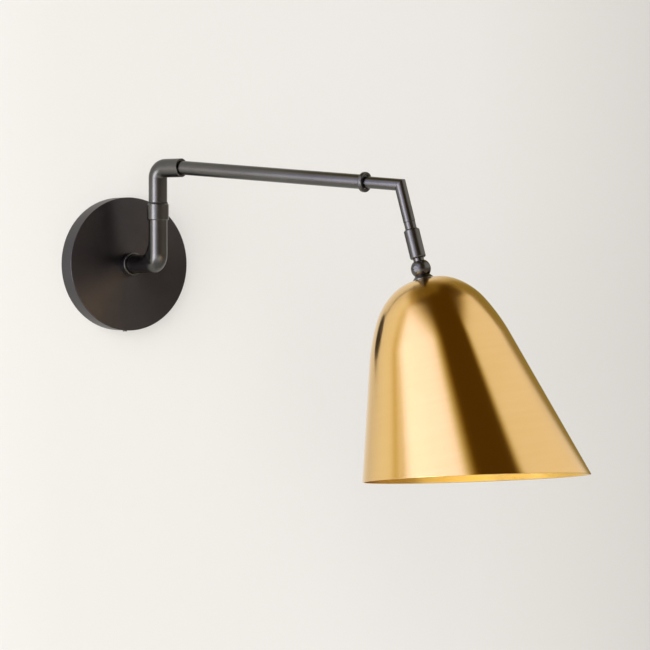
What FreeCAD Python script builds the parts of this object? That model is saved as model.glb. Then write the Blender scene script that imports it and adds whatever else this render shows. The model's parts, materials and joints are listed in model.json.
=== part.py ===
import FreeCAD, Part
import Sketcher
import math
import os

# Wall sconce: a round wall plate, a swivelling double elbow, a telescopic arm, a turning sleeve,
# a ball-shaped knuckle and a bell-shaped brass shade with a slanted mouth.
# Row frame: origin on the wall at the middle of the wall plate, +X right, +Z up, room on the -Y side.
# Lengths are in millimetres and angles in degrees.

sizes = {
    # fits shared by all pieces
    "running_gap": 0.05,
    "fit_gap": 0.02,
    "cut_overrun": 1.0,
    # pose of the arm at rest
    "arm_heading_angle": 20.3,
    "tube_droop_angle": 4.73,
    "drop_tilt_angle": 16.45,
    "shade_tilt_angle": 15.75,
    "mouth_turn_angle": -22.3,
    # wall plate
    "plate_radius": 60.0,
    "plate_depth": 18.0,
    "plate_rim_wall": 1.5,
    "plate_face_wall": 2.0,
    "plate_edge_round": 0.7,
    # mounting bracket behind the plate
    "bracket_width": 24.0,
    "bracket_thickness": 2.0,
    "bracket_tab_height": 13.5,
    "bracket_rim_gap": 0.5,
    "bracket_eye_radius": 8.0,
    "box_screw_spacing": 88.9,
    "box_slot_radius": 2.6,
    "box_slot_travel": 7.0,
    # set screws that hold the plate on the bracket
    "set_screw_radius": 2.0,
    "set_screw_length": 7.0,
    "set_screw_proud": 0.9,
    "set_screw_socket_radius": 0.9,
    "set_screw_socket_depth": 1.6,
    # earth screw and its ring terminal
    "earth_screw_offset": 25.0,
    "earth_screw_radius": 2.0,
    "earth_head_radius": 3.9,
    "earth_head_height": 2.4,
    "earth_slot_width": 1.0,
    "terminal_thickness": 0.8,
    "terminal_radius": 4.4,
    # hollow nipple, washer and nut that hold the stem on the plate
    "nipple_radius": 5.0,
    "nipple_bore_radius": 3.2,
    "nipple_depth_in_stem": 9.0,
    "nipple_tail": 10.5,
    "nipple_washer_radius": 9.0,
    "nipple_washer_thickness": 1.0,
    "nipple_nut_corner_radius": 8.1,
    "nipple_nut_height": 4.0,
    # stem: lower elbow, base ring, swivel and upper elbow
    "stem_offset": 68.25,
    "pipe_radius": 8.25,
    "pipe_bore_radius": 4.5,
    "bend_radius": 8.7,
    "web_bend_radius": 24.0,
    "web_inset": 0.05,
    "base_ring_radius": 10.3,
    "base_ring_height": 8.0,
    "base_ring_round": 0.8,
    "swivel_height": 45.6,
    "swivel_washer_thickness": 0.8,
    "collar_radius": 9.6,
    "collar_length": 14.7,
    "collar_chamfer": 0.8,
    "plug_radius": 6.2,
    "plug_length": 10.0,
    "pivot_radius": 4.0,
    "pivot_bore_radius": 2.3,
    "pivot_flange_radius": 5.7,
    "pivot_flange_height": 2.0,
    "spring_washer_thickness": 0.9,
    "spring_washer_radius": 6.0,
    "swivel_nut_corner_radius": 5.9,
    "swivel_nut_height": 3.8,
    "swivel_chamber_spare": 1.5,
    "swing_half_angle": 80.0,
    # collar screws: one locks the collar on the lower pipe, one runs in the stop groove
    "collar_screw_radius": 1.5,
    "collar_screw_offset": 4.1,
    "collar_screw_tip_radius": 1.0,
    "collar_screw_tip_reach": 0.9,
    "collar_screw_sink": 0.1,
    "stop_groove_clearance": 0.15,
    # upper elbow mouth and outer tube
    "leg_height": 84.5,
    "mouth_reach": 27.4,
    "mouth_chamfer": 0.5,
    "mouth_recess_radius": 7.1,
    "mouth_recess_depth": 1.2,
    "tube_seat_depth": 12.0,
    "tube_radius": 6.15,
    "tube_bore_radius": 5.4,
    "tube_screw_radius": 1.5,
    "tube_screw_setback": 6.0,
    # telescopic slide
    "arm_reach": 258.2,
    "ring_front_setback": 34.0,
    "ring_radius": 8.55,
    "ring_length": 3.8,
    "ring_lip": 1.2,
    "ring_round": 1.0,
    "ring_mouth_radius": 5.9,
    "bush_length": 14.0,
    "slide_in": 28.0,
    "slide_out": 90.0,
    "slide_end_spare": 0.4,
    "inner_radius": 5.0,
    "inner_bore_radius": 4.0,
    "key_slot_width": 2.0,
    "key_slot_depth": 0.45,
    "key_screw_radius": 1.25,
    "key_screw_tip_radius": 0.9,
    "tail_ring_groove": 0.4,
    "tail_ring_width": 1.2,
    "tail_ring_setback": 1.5,
    "tail_ring_gap_width": 2.5,
    # spigot under the drop tube
    "neck_start": 32.1,
    "neck_length": 6.3,
    "neck_radius": 4.78,
    "neck_undercut_radius": 4.3,
    "neck_undercut_width": 0.5,
    "spigot_inset": 12.0,
    "spigot_radius": 4.0,
    "spigot_bore_radius": 2.2,
    "spigot_length": 19.2,
    "spigot_root_radius": 3.95,
    # turning sleeve
    "sleeve_radius": 6.55,
    "sleeve_length": 24.9,
    "sleeve_end_gap": 0.1,
    "sleeve_chamfer": 1.0,
    "sleeve_lip_round": 1.6,
    "sleeve_ledge": 16.2,
    "sleeve_chamber_radius": 5.3,
    "sleeve_washer_thickness": 0.9,
    "clip_width": 0.8,
    "clip_groove_depth": 0.5,
    "clip_radius": 5.0,
    "clip_gap_width": 3.0,
    "turn_half_angle": 150.0,
    "sleeve_screw_radius": 1.25,
    "sleeve_screw_tip_radius": 0.8,
    "sleeve_screw_tip_reach": 0.7,
    "sleeve_screw_setback": 7.6,
    # ball knuckle
    "ball_centre": 72.3,
    "ball_radius": 8.25,
    "ball_flat_height": 6.1,
    "tongue_half_width": 4.55,
    "cheek_gap": 0.1,
    "knuckle_neck_radius": 4.49,
    "knuckle_plug_length": 4.8,
    "knuckle_screw_radius": 1.5,
    "knuckle_screw_tip": 2.5,
    "knuckle_head_radius": 2.4,
    "knuckle_head_height": 1.1,
    "knuckle_head_sink": 0.15,
    "knuckle_slot_width": 0.7,
    "tilt_half_angle": 45.0,
    "flange_radius": 8.65,
    "flange_rim_height": 0.9,
    "flange_root_radius": 6.1,
    "flange_root_height": 5.4,
    "shade_nipple_radius": 5.0,
    "shade_nipple_length": 9.2,
    # shade: three arcs and a straight flare, turned about its axis, with a slanted mouth
    "crown_height": 9.38,
    "crown_flat_radius": 6.74,
    "crown_arc_radius": 37.03,
    "crown_arc_end_angle": 34.5,
    "shoulder_arc_radius": 57.3,
    "shoulder_arc_end_angle": 61.4,
    "side_arc_radius": 165.6,
    "flare_half_angle": 16.31,
    "shade_depth": 215.0,
    "shade_wall": 1.0,
    "mouth_distance": 177.5,
    "mouth_slant_angle": 11.08,
    # fittings inside the shade
    "shade_washer_radius": 10.0,
    "shade_washer_thickness": 0.8,
    "shade_nut_corner_radius": 8.1,
    "shade_nut_height": 3.0,
    "cap_radius": 17.2,
    "cap_wall": 1.2,
    "cap_height": 12.0,
    "cap_nut_gap": 0.3,
    "holder_radius": 18.0,
    "holder_length": 38.0,
    "holder_inset": 5.0,
    "holder_cavity_radius": 14.4,
    "holder_floor": 4.0,
    "holder_wire_hole_radius": 1.3,
    "holder_wire_hole_offset": 8.5,
    "shell_radius": 13.95,
    "shell_wall": 0.4,
    "shell_length": 23.0,
    "shell_eye_radius": 5.5,
    "contact_rivet_radius": 1.6,
    "contact_disc_radius": 3.6,
    "contact_height": 1.8,
    # lamp bulb
    "bulb_length": 109.0,
    "bulb_radius": 30.0,
    "bulb_neck_radius": 13.0,
    "bulb_neck_end": 34.0,
    "bulb_glass_wall": 0.8,
    "bulb_cap_radius": 13.15,
    "bulb_cap_wall": 0.35,
    "bulb_cap_start": 3.6,
    "bulb_cap_length": 23.0,
    "bulb_tip_radius": 4.2,
    "bulb_tip_height": 1.2,
    "bulb_stem_radius": 3.5,
    "bulb_stem_length": 40.0,
    "filament_radius": 0.9,
    "filament_length": 34.0,
    "filament_ring_radius": 6.5,
    "filament_plate_thickness": 1.0,
    # leads
    "cable_radius": 1.9,
    "cable_strand_offset": 1.97,
    "cable_bend": 7.0,
    "cable_end_gap": 0.1,
    "cable_tail_margin": 14.0,
    "core_radius": 0.8,
    "core_offset": 0.96,
    "core_spread_angle": 30.0,
    "core_bend": 2.4,
    "core_height": 4.6,
    "core_run": 26.0,
    "core_rise": 8.2,
    "connector_length": 17.0,
    "connector_radius": 5.2,
    "connector_tip_radius": 3.4,
    "connector_grip": 5.0,
}


class Size:
    # a length or angle kept twice: as the text of an expression on the sheet and as its value

    def __init__(self, text, value):
        self.text = text
        self.value = value

    def __add__(self, other):
        other = asSize(other)
        return Size(f"({self.text} + {other.text})", self.value + other.value)

    def __sub__(self, other):
        other = asSize(other)
        return Size(f"({self.text} - {other.text})", self.value - other.value)

    def __rsub__(self, other):
        return asSize(other) - self

    def __mul__(self, other):
        other = asSize(other)
        return Size(f"({self.text} * {other.text})", self.value * other.value)

    def __truediv__(self, other):
        other = asSize(other)
        return Size(f"({self.text} / {other.text})", self.value / other.value)

    def __neg__(self):
        return Size(f"(0 - {self.text})", -self.value)

    __radd__ = __add__
    __rmul__ = __mul__


def asSize(thing):
    if isinstance(thing, Size):
        return thing
    return Size(f"({thing!r})", float(thing))


def sine(angle):
    return Size(f"sin({angle.text} * 1 deg)", math.sin(math.radians(angle.value)))


def cosine(angle):
    return Size(f"cos({angle.text} * 1 deg)", math.cos(math.radians(angle.value)))


def root(thing):
    return Size(f"sqrt({thing.text})", math.sqrt(thing.value))


class Sheet:
    # each named value of the sheet as an attribute

    def __getattr__(self, name):
        return Size(f"Sizes.{name}", sizes[name])


doc = FreeCAD.newDocument("wall_sconce")
sheet = doc.addObject("Spreadsheet::Sheet", "Sizes")
for row, (name, value) in enumerate(sizes.items(), start=1):
    sheet.set(f"A{row}", name)
    sheet.set(f"B{row}", str(value))
    sheet.setAlias(f"B{row}", name)
doc.recompute()

z = Sheet()
nothing = asSize(0)
full_turn = 360
quarter_turn = 90
lead_volume_share = 0.001
Vector = FreeCAD.Vector
parts = []


# Frames: each is a placement whose z axis runs along the piece

def frame(origin, across, along):
    turn = FreeCAD.Rotation(across, along.cross(across), along, "ZXY")
    return FreeCAD.Placement(origin, turn)


heading = math.radians(z.arm_heading_angle.value)
arm_way = Vector(math.sin(heading), -math.cos(heading), 0)
up = Vector(0, 0, 1)


def leaning(angle_from_vertical):
    # a direction in the arm's upright plane, downward and outward
    lean = math.radians(angle_from_vertical.value)
    return arm_way * math.sin(lean) - up * math.cos(lean)


def outward(angle_from_vertical):
    # square to leaning, in the same plane, on the outer and upper side
    lean = math.radians(angle_from_vertical.value)
    return arm_way * math.cos(lean) + up * math.sin(lean)


world = FreeCAD.Placement()
wall_frame = frame(Vector(0, 0, 0), Vector(1, 0, 0), Vector(0, -1, 0))
stem_foot = Vector(0, -z.stem_offset.value, 0)
stem_frame = frame(stem_foot, Vector(1, 0, 0), up)
arm_frame = frame(stem_foot, arm_way, up)

tube_lean = quarter_turn - z.tube_droop_angle
tube_way = leaning(tube_lean)
mouth_point = stem_foot + arm_way * z.mouth_reach.value + up * z.leg_height.value
tube_frame = frame(mouth_point, outward(tube_lean), tube_way)
tube_reach = (z.arm_reach - z.mouth_reach) / cosine(z.tube_droop_angle)

corner_point = mouth_point + tube_way * tube_reach.value
drop_way = leaning(z.drop_tilt_angle)
drop_frame = frame(corner_point, outward(z.drop_tilt_angle), drop_way)

ball_point = corner_point + drop_way * z.ball_centre.value
shade_way = leaning(z.shade_tilt_angle)
ball_frame = frame(ball_point, outward(z.shade_tilt_angle), shade_way)
mouth_turn = FreeCAD.Placement(Vector(0, 0, 0), FreeCAD.Rotation(up, z.mouth_turn_angle.value))
shade_frame = ball_frame.multiply(mouth_turn)


# Solid helpers: all sizes are bound to the sheet

count = 0


def fresh(kind, stem="Shape"):
    global count
    count += 1
    return doc.addObject(kind, f"{stem}{count}")


def bind(thing, **properties):
    for name, size in properties.items():
        thing.setExpression(name, asSize(size).text)
    return thing


def rod(radius, start, end, sweep=full_turn):
    piece = bind(fresh("Part::Cylinder"), Radius=radius, Height=end - start, Angle=sweep)
    piece.Placement.Base = Vector(0, 0, asSize(start).value)
    return piece


def cone(first_radius, last_radius, start, end):
    piece = bind(fresh("Part::Cone"), Radius1=first_radius, Radius2=last_radius, Height=end - start)
    piece.Placement.Base = Vector(0, 0, asSize(start).value)
    return piece


def ball(radius):
    return bind(fresh("Part::Sphere"), Radius=radius)


def block(x_from, x_to, y_from, y_to, z_from, z_to):
    piece = bind(fresh("Part::Box"), Length=x_to - x_from, Width=y_to - y_from, Height=z_to - z_from)
    piece.Placement.Base = Vector(*(asSize(edge).value for edge in (x_from, y_from, z_from)))
    return piece


def hexagon(corner_radius, start, end):
    piece = bind(fresh("Part::Prism"), Circumradius=corner_radius, Height=end - start)
    piece.Polygon = 6
    piece.Placement.Base = Vector(0, 0, asSize(start).value)
    return piece


def quarterRing(bend, radius, centre, first, last):
    # a quarter of a round bend about centre, from the direction first to the direction last
    piece = bind(fresh("Part::Torus"), Radius1=bend, Radius2=radius, Angle3=quarter_turn)
    piece.Placement = FreeCAD.Placement(centre, FreeCAD.Rotation(first, last, first.cross(last), "ZXY"))
    return piece


def fuse(*pieces):
    piece = fresh("Part::MultiFuse")
    piece.Shapes = list(pieces)
    return piece


def cut(body, *tools):
    piece = fresh("Part::Cut")
    piece.Base = body
    piece.Tool = tools[0] if len(tools) == 1 else fuse(*tools)
    return piece


def common(first, second):
    piece = fresh("Part::MultiCommon")
    piece.Shapes = [first, second]
    return piece


def tube(radius, bore, start, end):
    return cut(rod(radius, start, end), rod(bore, start - z.cut_overrun, end + z.cut_overrun))


def moved(piece, placement):
    piece.Placement = placement.multiply(piece.Placement)
    return piece


def aimed(piece, way, x=nothing, y=nothing, height=nothing):
    # turns a piece made along z so that it runs along way from the point given
    here = Vector(x.value, y.value, height.value)
    return moved(piece, FreeCAD.Placement(here, FreeCAD.Rotation(up, way)))


def finish(label, piece, placement=world):
    piece.Label = label
    moved(piece, placement)
    parts.append(piece)
    return piece


def group(label, pieces, placement=world):
    # identical pieces that share one node and stay separate solids
    piece = fresh("Part::Compound")
    piece.Links = pieces
    return finish(label, piece, placement)


class Arc:
    # an arc from one point of an outline to the next: its radius, and +1 or -1 for its hand

    def __init__(self, radius, hand):
        self.radius = radius
        self.hand = hand


def arcMiddle(first, last, radius, hand):
    chord = last - first
    half = chord.Length / 2
    rise = radius - math.sqrt(max(radius * radius - half * half, 0))
    side = Vector(-chord.y, chord.x, 0).normalize()
    return (first + last) / 2 + side * rise * hand


def outlineSketch(body, plane, outline):
    # an outline is a list of points (x, y) in sizes, with an Arc between two points that it joins
    sketch = body.newObject("Sketcher::SketchObject", "Outline")
    sketch.AttachmentSupport = [(next(p for p in body.Origin.OriginFeatures if p.Role == plane), "")]
    sketch.MapMode = "FlatFace"
    corners = [item for item in outline if not isinstance(item, Arc)]
    joins = []
    for place, item in enumerate(outline):
        if isinstance(item, Arc):
            continue
        after = outline[(place + 1) % len(outline)]
        joins.append(after if isinstance(after, Arc) else None)
    spots = [Vector(asSize(x).value, asSize(y).value, 0) for x, y in corners]
    starts = []
    for place, join in enumerate(joins):
        first = spots[place]
        last = spots[(place + 1) % len(spots)]
        if join is None:
            sketch.addGeometry(Part.LineSegment(first, last), False)
            starts.append((1, 2))
            continue
        middle = arcMiddle(first, last, asSize(join.radius).value, join.hand)
        # the sketch keeps its arcs anticlockwise, so an arc bulging to the left starts at its last point
        ends = (first, last) if join.hand < 0 else (last, first)
        sketch.addGeometry(Part.Arc(ends[0], middle, ends[1]), False)
        starts.append((1, 2) if join.hand < 0 else (2, 1))
    for place, join in enumerate(joins):
        after = (place + 1) % len(joins)
        meeting = Sketcher.Constraint("Coincident", place, starts[place][1], after, starts[after][0])
        sketch.addConstraint(meeting)
        for way, size in zip(("DistanceX", "DistanceY"), corners[place]):
            size = asSize(size)
            rule = Sketcher.Constraint(way, -1, 1, place, starts[place][0], size.value)
            number = sketch.addConstraint(rule)
            sketch.setExpression(f"Constraints[{number}]", size.text)
        if join is not None:
            radius = asSize(join.radius)
            number = sketch.addConstraint(Sketcher.Constraint("Radius", place, radius.value))
            sketch.setExpression(f"Constraints[{number}]", radius.text)
    return sketch


def turned(outline):
    # a body turned about z from an outline of (radius, height) points
    body = fresh("PartDesign::Body", "Turned")
    sketch = outlineSketch(body, "XZ_Plane", outline)
    feature = body.newObject("PartDesign::Revolution", "Turn")
    feature.Profile = sketch
    feature.ReferenceAxis = (sketch, ["V_Axis"])
    feature.Angle = full_turn
    return body


def route(points, bend):
    # straight runs joined by tangent arcs
    edges = []
    last = points[0]
    for place in range(1, len(points) - 1):
        before = (points[place - 1] - points[place]).normalize()
        after = (points[place + 1] - points[place]).normalize()
        half = before.getAngle(after) / 2
        reach = bend / math.tan(half)
        enter = points[place] + before * reach
        leave = points[place] + after * reach
        centre = points[place] + (before + after).normalize() * (bend / math.sin(half))
        middle = centre + (points[place] - centre).normalize() * bend
        edges.append(Part.LineSegment(last, enter).toShape())
        edges.append(Part.Arc(enter, middle, leave).toShape())
        last = leave
    edges.append(Part.LineSegment(last, points[-1]).toShape())
    return Part.Wire(edges)


def lead(points, radius, bend):
    # a lead along its route; a sweep of a circle along arcs in space has no primitive of its own
    path = route(points, bend)
    circle = Part.Circle(points[0], points[1] - points[0], radius)
    solid = path.makePipeShell([Part.Wire([circle.toShape()])], True, False)
    piece = fresh("Part::Feature", "Lead")
    piece.Shape = solid
    wanted = math.pi * radius * radius * path.Length
    if abs(solid.Volume - wanted) > wanted * lead_volume_share:
        raise RuntimeError("a lead has the wrong volume")
    return piece


def spot(placement, x=nothing, y=nothing, height=nothing):
    here = Vector(asSize(x).value, asSize(y).value, asSize(height).value)
    return placement.multVec(here)


# Wall plate and what lies behind it

def makePlate():
    inner = z.plate_radius - z.plate_rim_wall
    face_back = z.plate_depth - z.plate_face_wall
    outline = [
        (z.nipple_radius + z.fit_gap, face_back),
        (inner, face_back),
        (inner, nothing),
        (z.plate_radius, nothing),
        (z.plate_radius, z.plate_depth - z.plate_edge_round),
        Arc(z.plate_edge_round, -1),
        (z.plate_radius - z.plate_edge_round, z.plate_depth),
        (z.nipple_radius + z.fit_gap, z.plate_depth),
    ]
    holes = []
    for side in (1, -1):
        hole = rod(z.set_screw_radius + z.fit_gap, inner - z.cut_overrun, z.plate_radius + z.cut_overrun)
        holes.append(aimed(hole, Vector(0, side, 0), height=z.plate_depth / 2))
    finish("backplate", cut(turned(outline), *holes), wall_frame)


def tabEdge():
    # the bracket's tabs stand just inside the rim, whose wall curves away from the tab's corners
    inner = z.plate_radius - z.plate_rim_wall
    half = z.bracket_width / 2
    return root(inner * inner - half * half) - z.bracket_rim_gap


def makeBracket():
    edge = tabEdge()
    half = z.bracket_width / 2
    strap = block(-half, half, -edge, edge, nothing, z.bracket_thickness)
    top = block(-half, half, edge - z.bracket_thickness, edge, nothing, z.bracket_tab_height)
    bottom = block(-half, half, -edge, z.bracket_thickness - edge, nothing, z.bracket_tab_height)
    past = z.bracket_thickness + z.cut_overrun
    tools = [rod(z.bracket_eye_radius, -z.cut_overrun, past)]
    for side in (1, -1):
        middle = side * z.box_screw_spacing / 2
        travel = z.box_slot_travel / 2
        tools.append(block(-z.box_slot_radius, z.box_slot_radius, middle - travel, middle + travel,
                           -z.cut_overrun, past))
        for end in (middle - travel, middle + travel):
            tools.append(aimed(rod(z.box_slot_radius, -z.cut_overrun, past), up, y=end))
        screw_hole = rod(z.set_screw_radius + z.fit_gap, edge - z.bracket_thickness - z.cut_overrun,
                         edge + z.cut_overrun)
        tools.append(aimed(screw_hole, Vector(0, side, 0), height=z.plate_depth / 2))
    earth = rod(z.earth_screw_radius + z.fit_gap, -z.cut_overrun, past)
    tools.append(aimed(earth, up, y=-z.earth_screw_offset))
    finish("mounting_bracket", cut(fuse(strap, top, bottom), *tools), wall_frame)


def makePlateScrews():
    screws = []
    for side, proud in ((1, nothing), (-1, z.set_screw_proud)):
        tip = z.plate_radius + proud
        body = rod(z.set_screw_radius, tip - z.set_screw_length, tip)
        socket = hexagon(z.set_screw_socket_radius, tip - z.set_screw_socket_depth, tip + z.cut_overrun)
        screws.append(aimed(cut(body, socket), Vector(0, side, 0), height=z.plate_depth / 2))
    group("plate_set_screws", screws, wall_frame)


def makeEarth():
    seat = z.bracket_thickness + z.terminal_thickness
    top = seat + z.earth_head_height
    slot_half = z.earth_slot_width / 2
    slot = block(-z.earth_head_radius, z.earth_head_radius, -slot_half, slot_half,
                 top - z.earth_head_height / 2, top + z.cut_overrun)
    screw = cut(fuse(rod(z.earth_screw_radius, nothing, seat), rod(z.earth_head_radius, seat, top)), slot)
    finish("earth_screw", aimed(screw, up, y=-z.earth_screw_offset), wall_frame)
    terminal = tube(z.terminal_radius, z.earth_screw_radius + z.fit_gap, z.bracket_thickness, seat)
    finish("earth_terminal", aimed(terminal, up, y=-z.earth_screw_offset), wall_frame)


def makeNipple():
    start = z.plate_depth - z.nipple_tail
    finish("stem_nipple", tube(z.nipple_radius, z.nipple_bore_radius, start,
                               z.plate_depth + z.nipple_depth_in_stem), wall_frame)
    back = z.plate_depth - z.plate_face_wall
    washer_start = back - z.nipple_washer_thickness
    bore = z.nipple_radius + z.fit_gap
    finish("nipple_washer", tube(z.nipple_washer_radius, bore, washer_start, back), wall_frame)
    nut_start = washer_start - z.nipple_nut_height
    nut = cut(hexagon(z.nipple_nut_corner_radius, nut_start, washer_start),
              rod(bore, nut_start - z.cut_overrun, back))
    finish("nipple_nut", nut, wall_frame)


# Stem, swivel and upper elbow

def makeBaseRing():
    bore = z.pipe_radius + z.fit_gap
    end = z.plate_depth + z.base_ring_height
    outline = [
        (bore, z.plate_depth),
        (z.base_ring_radius, z.plate_depth),
        (z.base_ring_radius, end - z.base_ring_round),
        Arc(z.base_ring_round, -1),
        (z.base_ring_radius - z.base_ring_round, end),
        (bore, end),
    ]
    finish("stem_base_ring", turned(outline), wall_frame)


def screwDimple(height, reach):
    # a radial cylinder on the wall side of the stem, for a collar screw's tip
    dimple = rod(z.collar_screw_tip_radius + z.stop_groove_clearance, z.pipe_radius - reach,
                 z.pipe_radius + z.cut_overrun)
    return aimed(dimple, Vector(0, 1, 0), height=height)


def grooveReach():
    return z.collar_screw_tip_reach + z.stop_groove_clearance


def makeElbowWeb():
    # fills the corner inside the lower bend: flat sides, and a wider round bend along its edge
    reach = z.web_bend_radius
    half_width = z.pipe_radius - 2 * z.web_inset
    corner = block(-half_width, half_width, nothing, reach, nothing, reach)
    hollow = aimed(rod(reach, -z.pipe_radius, z.pipe_radius), Vector(1, 0, 0), y=reach, height=reach)
    edge = quarterRing(reach, z.pipe_radius - z.web_inset, Vector(0, reach.value, reach.value),
                       Vector(0, 0, -1), Vector(0, -1, 0))
    return fuse(cut(corner, hollow), edge)


def makeLowerElbow():
    # the stub comes from the wall and the riser goes straight up
    run = z.stem_offset - z.plate_depth - z.bend_radius
    centre = Vector(0, z.bend_radius.value, z.bend_radius.value)
    pieces = []
    for radius, spare in ((z.pipe_radius, nothing), (z.pipe_bore_radius, z.cut_overrun)):
        bend = quarterRing(z.bend_radius, radius, centre, Vector(0, 0, -1), Vector(0, -1, 0))
        stub = aimed(rod(radius, nothing, run + spare), Vector(0, 1, 0), y=z.bend_radius)
        riser = rod(radius, z.bend_radius, z.swivel_height + spare)
        pieces.append(fuse(bend, stub, riser))
    seat = rod(z.plug_radius + z.fit_gap,
               z.swivel_height - z.plug_length - z.pivot_flange_height - z.fit_gap,
               z.swivel_height + z.cut_overrun)
    thread = aimed(rod(z.nipple_radius + z.fit_gap, run - z.nipple_depth_in_stem - z.fit_gap,
                       run + z.cut_overrun), Vector(0, 1, 0), y=z.bend_radius)
    dimple = screwDimple(z.swivel_height - z.collar_screw_offset, grooveReach())
    outside = fuse(pieces[0], makeElbowWeb())
    finish("lower_elbow", cut(outside, pieces[1], seat, thread, dimple), stem_frame)


def makeSwivel():
    gap = z.running_gap
    split = z.swivel_height
    washer_top = split + z.swivel_washer_thickness
    plug_foot = split - z.plug_length
    plug_top = washer_top + z.plug_length
    finish("lower_swivel_plug", tube(z.plug_radius, z.pivot_radius + z.fit_gap, plug_foot, split), stem_frame)
    finish("friction_washer", tube(z.pipe_radius - z.fit_gap, z.pivot_radius + gap, split, washer_top),
           stem_frame)
    finish("upper_swivel_plug", tube(z.plug_radius, z.pivot_radius + gap, washer_top, plug_top), arm_frame)
    spring_top = plug_top + z.spring_washer_thickness
    finish("swivel_spring_washer", tube(z.spring_washer_radius, z.pivot_radius + gap, plug_top, spring_top),
           stem_frame)
    nut_top = spring_top + z.swivel_nut_height
    nut = cut(hexagon(z.swivel_nut_corner_radius, spring_top, nut_top),
              rod(z.pivot_radius + z.fit_gap, spring_top - z.cut_overrun, nut_top + z.cut_overrun))
    finish("swivel_nut", nut, stem_frame)
    flange = rod(z.pivot_flange_radius, plug_foot - z.pivot_flange_height, plug_foot)
    shank = rod(z.pivot_radius, plug_foot - z.pivot_flange_height, nut_top)
    bore = rod(z.pivot_bore_radius, plug_foot - z.pivot_flange_height - z.cut_overrun,
               nut_top + z.cut_overrun)
    finish("swivel_pivot", cut(fuse(flange, shank), bore), stem_frame)
    return nut_top


def makeCollar():
    bore = z.pipe_radius + z.running_gap
    middle = z.swivel_height + z.swivel_washer_thickness / 2
    bottom = middle - z.collar_length / 2
    top = middle + z.collar_length / 2
    edge = z.collar_radius - z.collar_chamfer
    outline = [
        (bore, bottom),
        (edge, bottom),
        (z.collar_radius, bottom + z.collar_chamfer),
        (z.collar_radius, top - z.collar_chamfer),
        (edge, top),
        (bore, top),
    ]
    holes = []
    screws = []
    for height in screwHeights():
        hole = rod(z.collar_screw_radius + z.fit_gap, nothing, z.collar_radius + z.cut_overrun)
        holes.append(aimed(hole, Vector(0, 1, 0), height=height))
        thread = rod(z.collar_screw_radius, bore, z.collar_radius - z.collar_screw_sink)
        tip = rod(z.collar_screw_tip_radius, z.pipe_radius - z.collar_screw_tip_reach, bore)
        screws.append(aimed(fuse(thread, tip), Vector(0, 1, 0), height=height))
    finish("swivel_collar", cut(turned(outline), *holes), stem_frame)
    group("collar_screws", screws, stem_frame)


def screwHeights():
    low = z.swivel_height - z.collar_screw_offset
    high = z.swivel_height + z.swivel_washer_thickness + z.collar_screw_offset
    return low, high


def sector(outer, inner, start, end, middle_angle, half_angle):
    # a slice of a ring about z, centred on middle_angle
    ring = cut(rod(outer, start, end, sweep=2 * half_angle), rod(inner, start - z.cut_overrun,
                                                                end + z.cut_overrun))
    turn = FreeCAD.Rotation(up, asSize(middle_angle).value - half_angle.value)
    return moved(ring, FreeCAD.Placement(Vector(0, 0, 0), turn))


def makeUpperElbow(chamber_top):
    foot = z.swivel_height + z.swivel_washer_thickness
    bend_start = z.leg_height - z.bend_radius
    centre = Vector(z.bend_radius.value, 0, bend_start.value)
    pieces = []
    for radius, spare in ((z.pipe_radius, nothing), (z.pipe_bore_radius, z.cut_overrun)):
        bend = quarterRing(z.bend_radius, radius, centre, Vector(-1, 0, 0), Vector(0, 0, 1))
        riser = rod(radius, foot - spare, bend_start)
        leg = aimed(rod(radius, z.bend_radius, z.mouth_reach), Vector(1, 0, 0), height=z.leg_height)
        pieces.append(fuse(riser, bend, leg))
    outside = pieces[0]
    seat = rod(z.plug_radius + z.fit_gap, foot - z.cut_overrun, chamber_top + z.swivel_chamber_spare)
    to_arm = arm_frame.inverse().multiply(tube_frame)
    tube_seat = moved(rod(z.tube_radius + z.fit_gap, -z.tube_seat_depth, z.ring_length), to_arm)
    recess = aimed(rod(z.mouth_recess_radius, z.mouth_reach - z.mouth_recess_depth,
                       z.mouth_reach + z.cut_overrun), Vector(1, 0, 0), height=z.leg_height)
    chamfer = aimed(cut(
        rod(z.pipe_radius + z.cut_overrun, z.mouth_reach - z.mouth_chamfer, z.mouth_reach + z.cut_overrun),
        cone(z.pipe_radius, z.pipe_radius - z.mouth_chamfer - z.cut_overrun,
             z.mouth_reach - z.mouth_chamfer, z.mouth_reach + z.cut_overrun)),
        Vector(1, 0, 0), height=z.leg_height)
    tip = z.collar_screw_tip_radius + z.stop_groove_clearance
    height = screwHeights()[1]
    tip_angle = asSize(math.degrees(math.asin(tip.value / (z.pipe_radius - grooveReach()).value)))
    stop_groove = sector(z.pipe_radius + z.cut_overrun, z.pipe_radius - grooveReach(), height - tip,
                         height + tip, asSize(full_turn / 2), z.swing_half_angle + tip_angle)
    screw_hole = aimed(rod(z.tube_screw_radius + z.fit_gap, nothing, z.pipe_radius + z.cut_overrun),
                       Vector(0, 1, 0), x=z.mouth_reach - z.tube_screw_setback, height=z.leg_height)
    finish("upper_elbow", cut(outside, pieces[1], seat, tube_seat, recess, chamfer, stop_groove, screw_hole),
           arm_frame)


def makeTubeScrew():
    setback = z.tube_screw_setback
    place = dict(x=z.mouth_reach - setback, height=z.leg_height)
    screw = rod(z.tube_screw_radius, nothing, z.pipe_radius - z.fit_gap)
    aimed(screw, Vector(0, 1, 0), **place)
    to_arm = arm_frame.inverse().multiply(tube_frame)
    keep_out = moved(rod(z.tube_radius, -z.tube_seat_depth, z.ring_length), to_arm)
    rounding = aimed(rod(z.pipe_radius - z.fit_gap, nothing, z.mouth_reach), Vector(1, 0, 0),
                     height=z.leg_height)
    finish("tube_set_screw", cut(common(screw, rounding), keep_out), arm_frame)


# Telescopic arm

def ringFront():
    return tube_reach - z.ring_front_setback


def bushFront():
    return ringFront() - z.ring_lip


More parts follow.
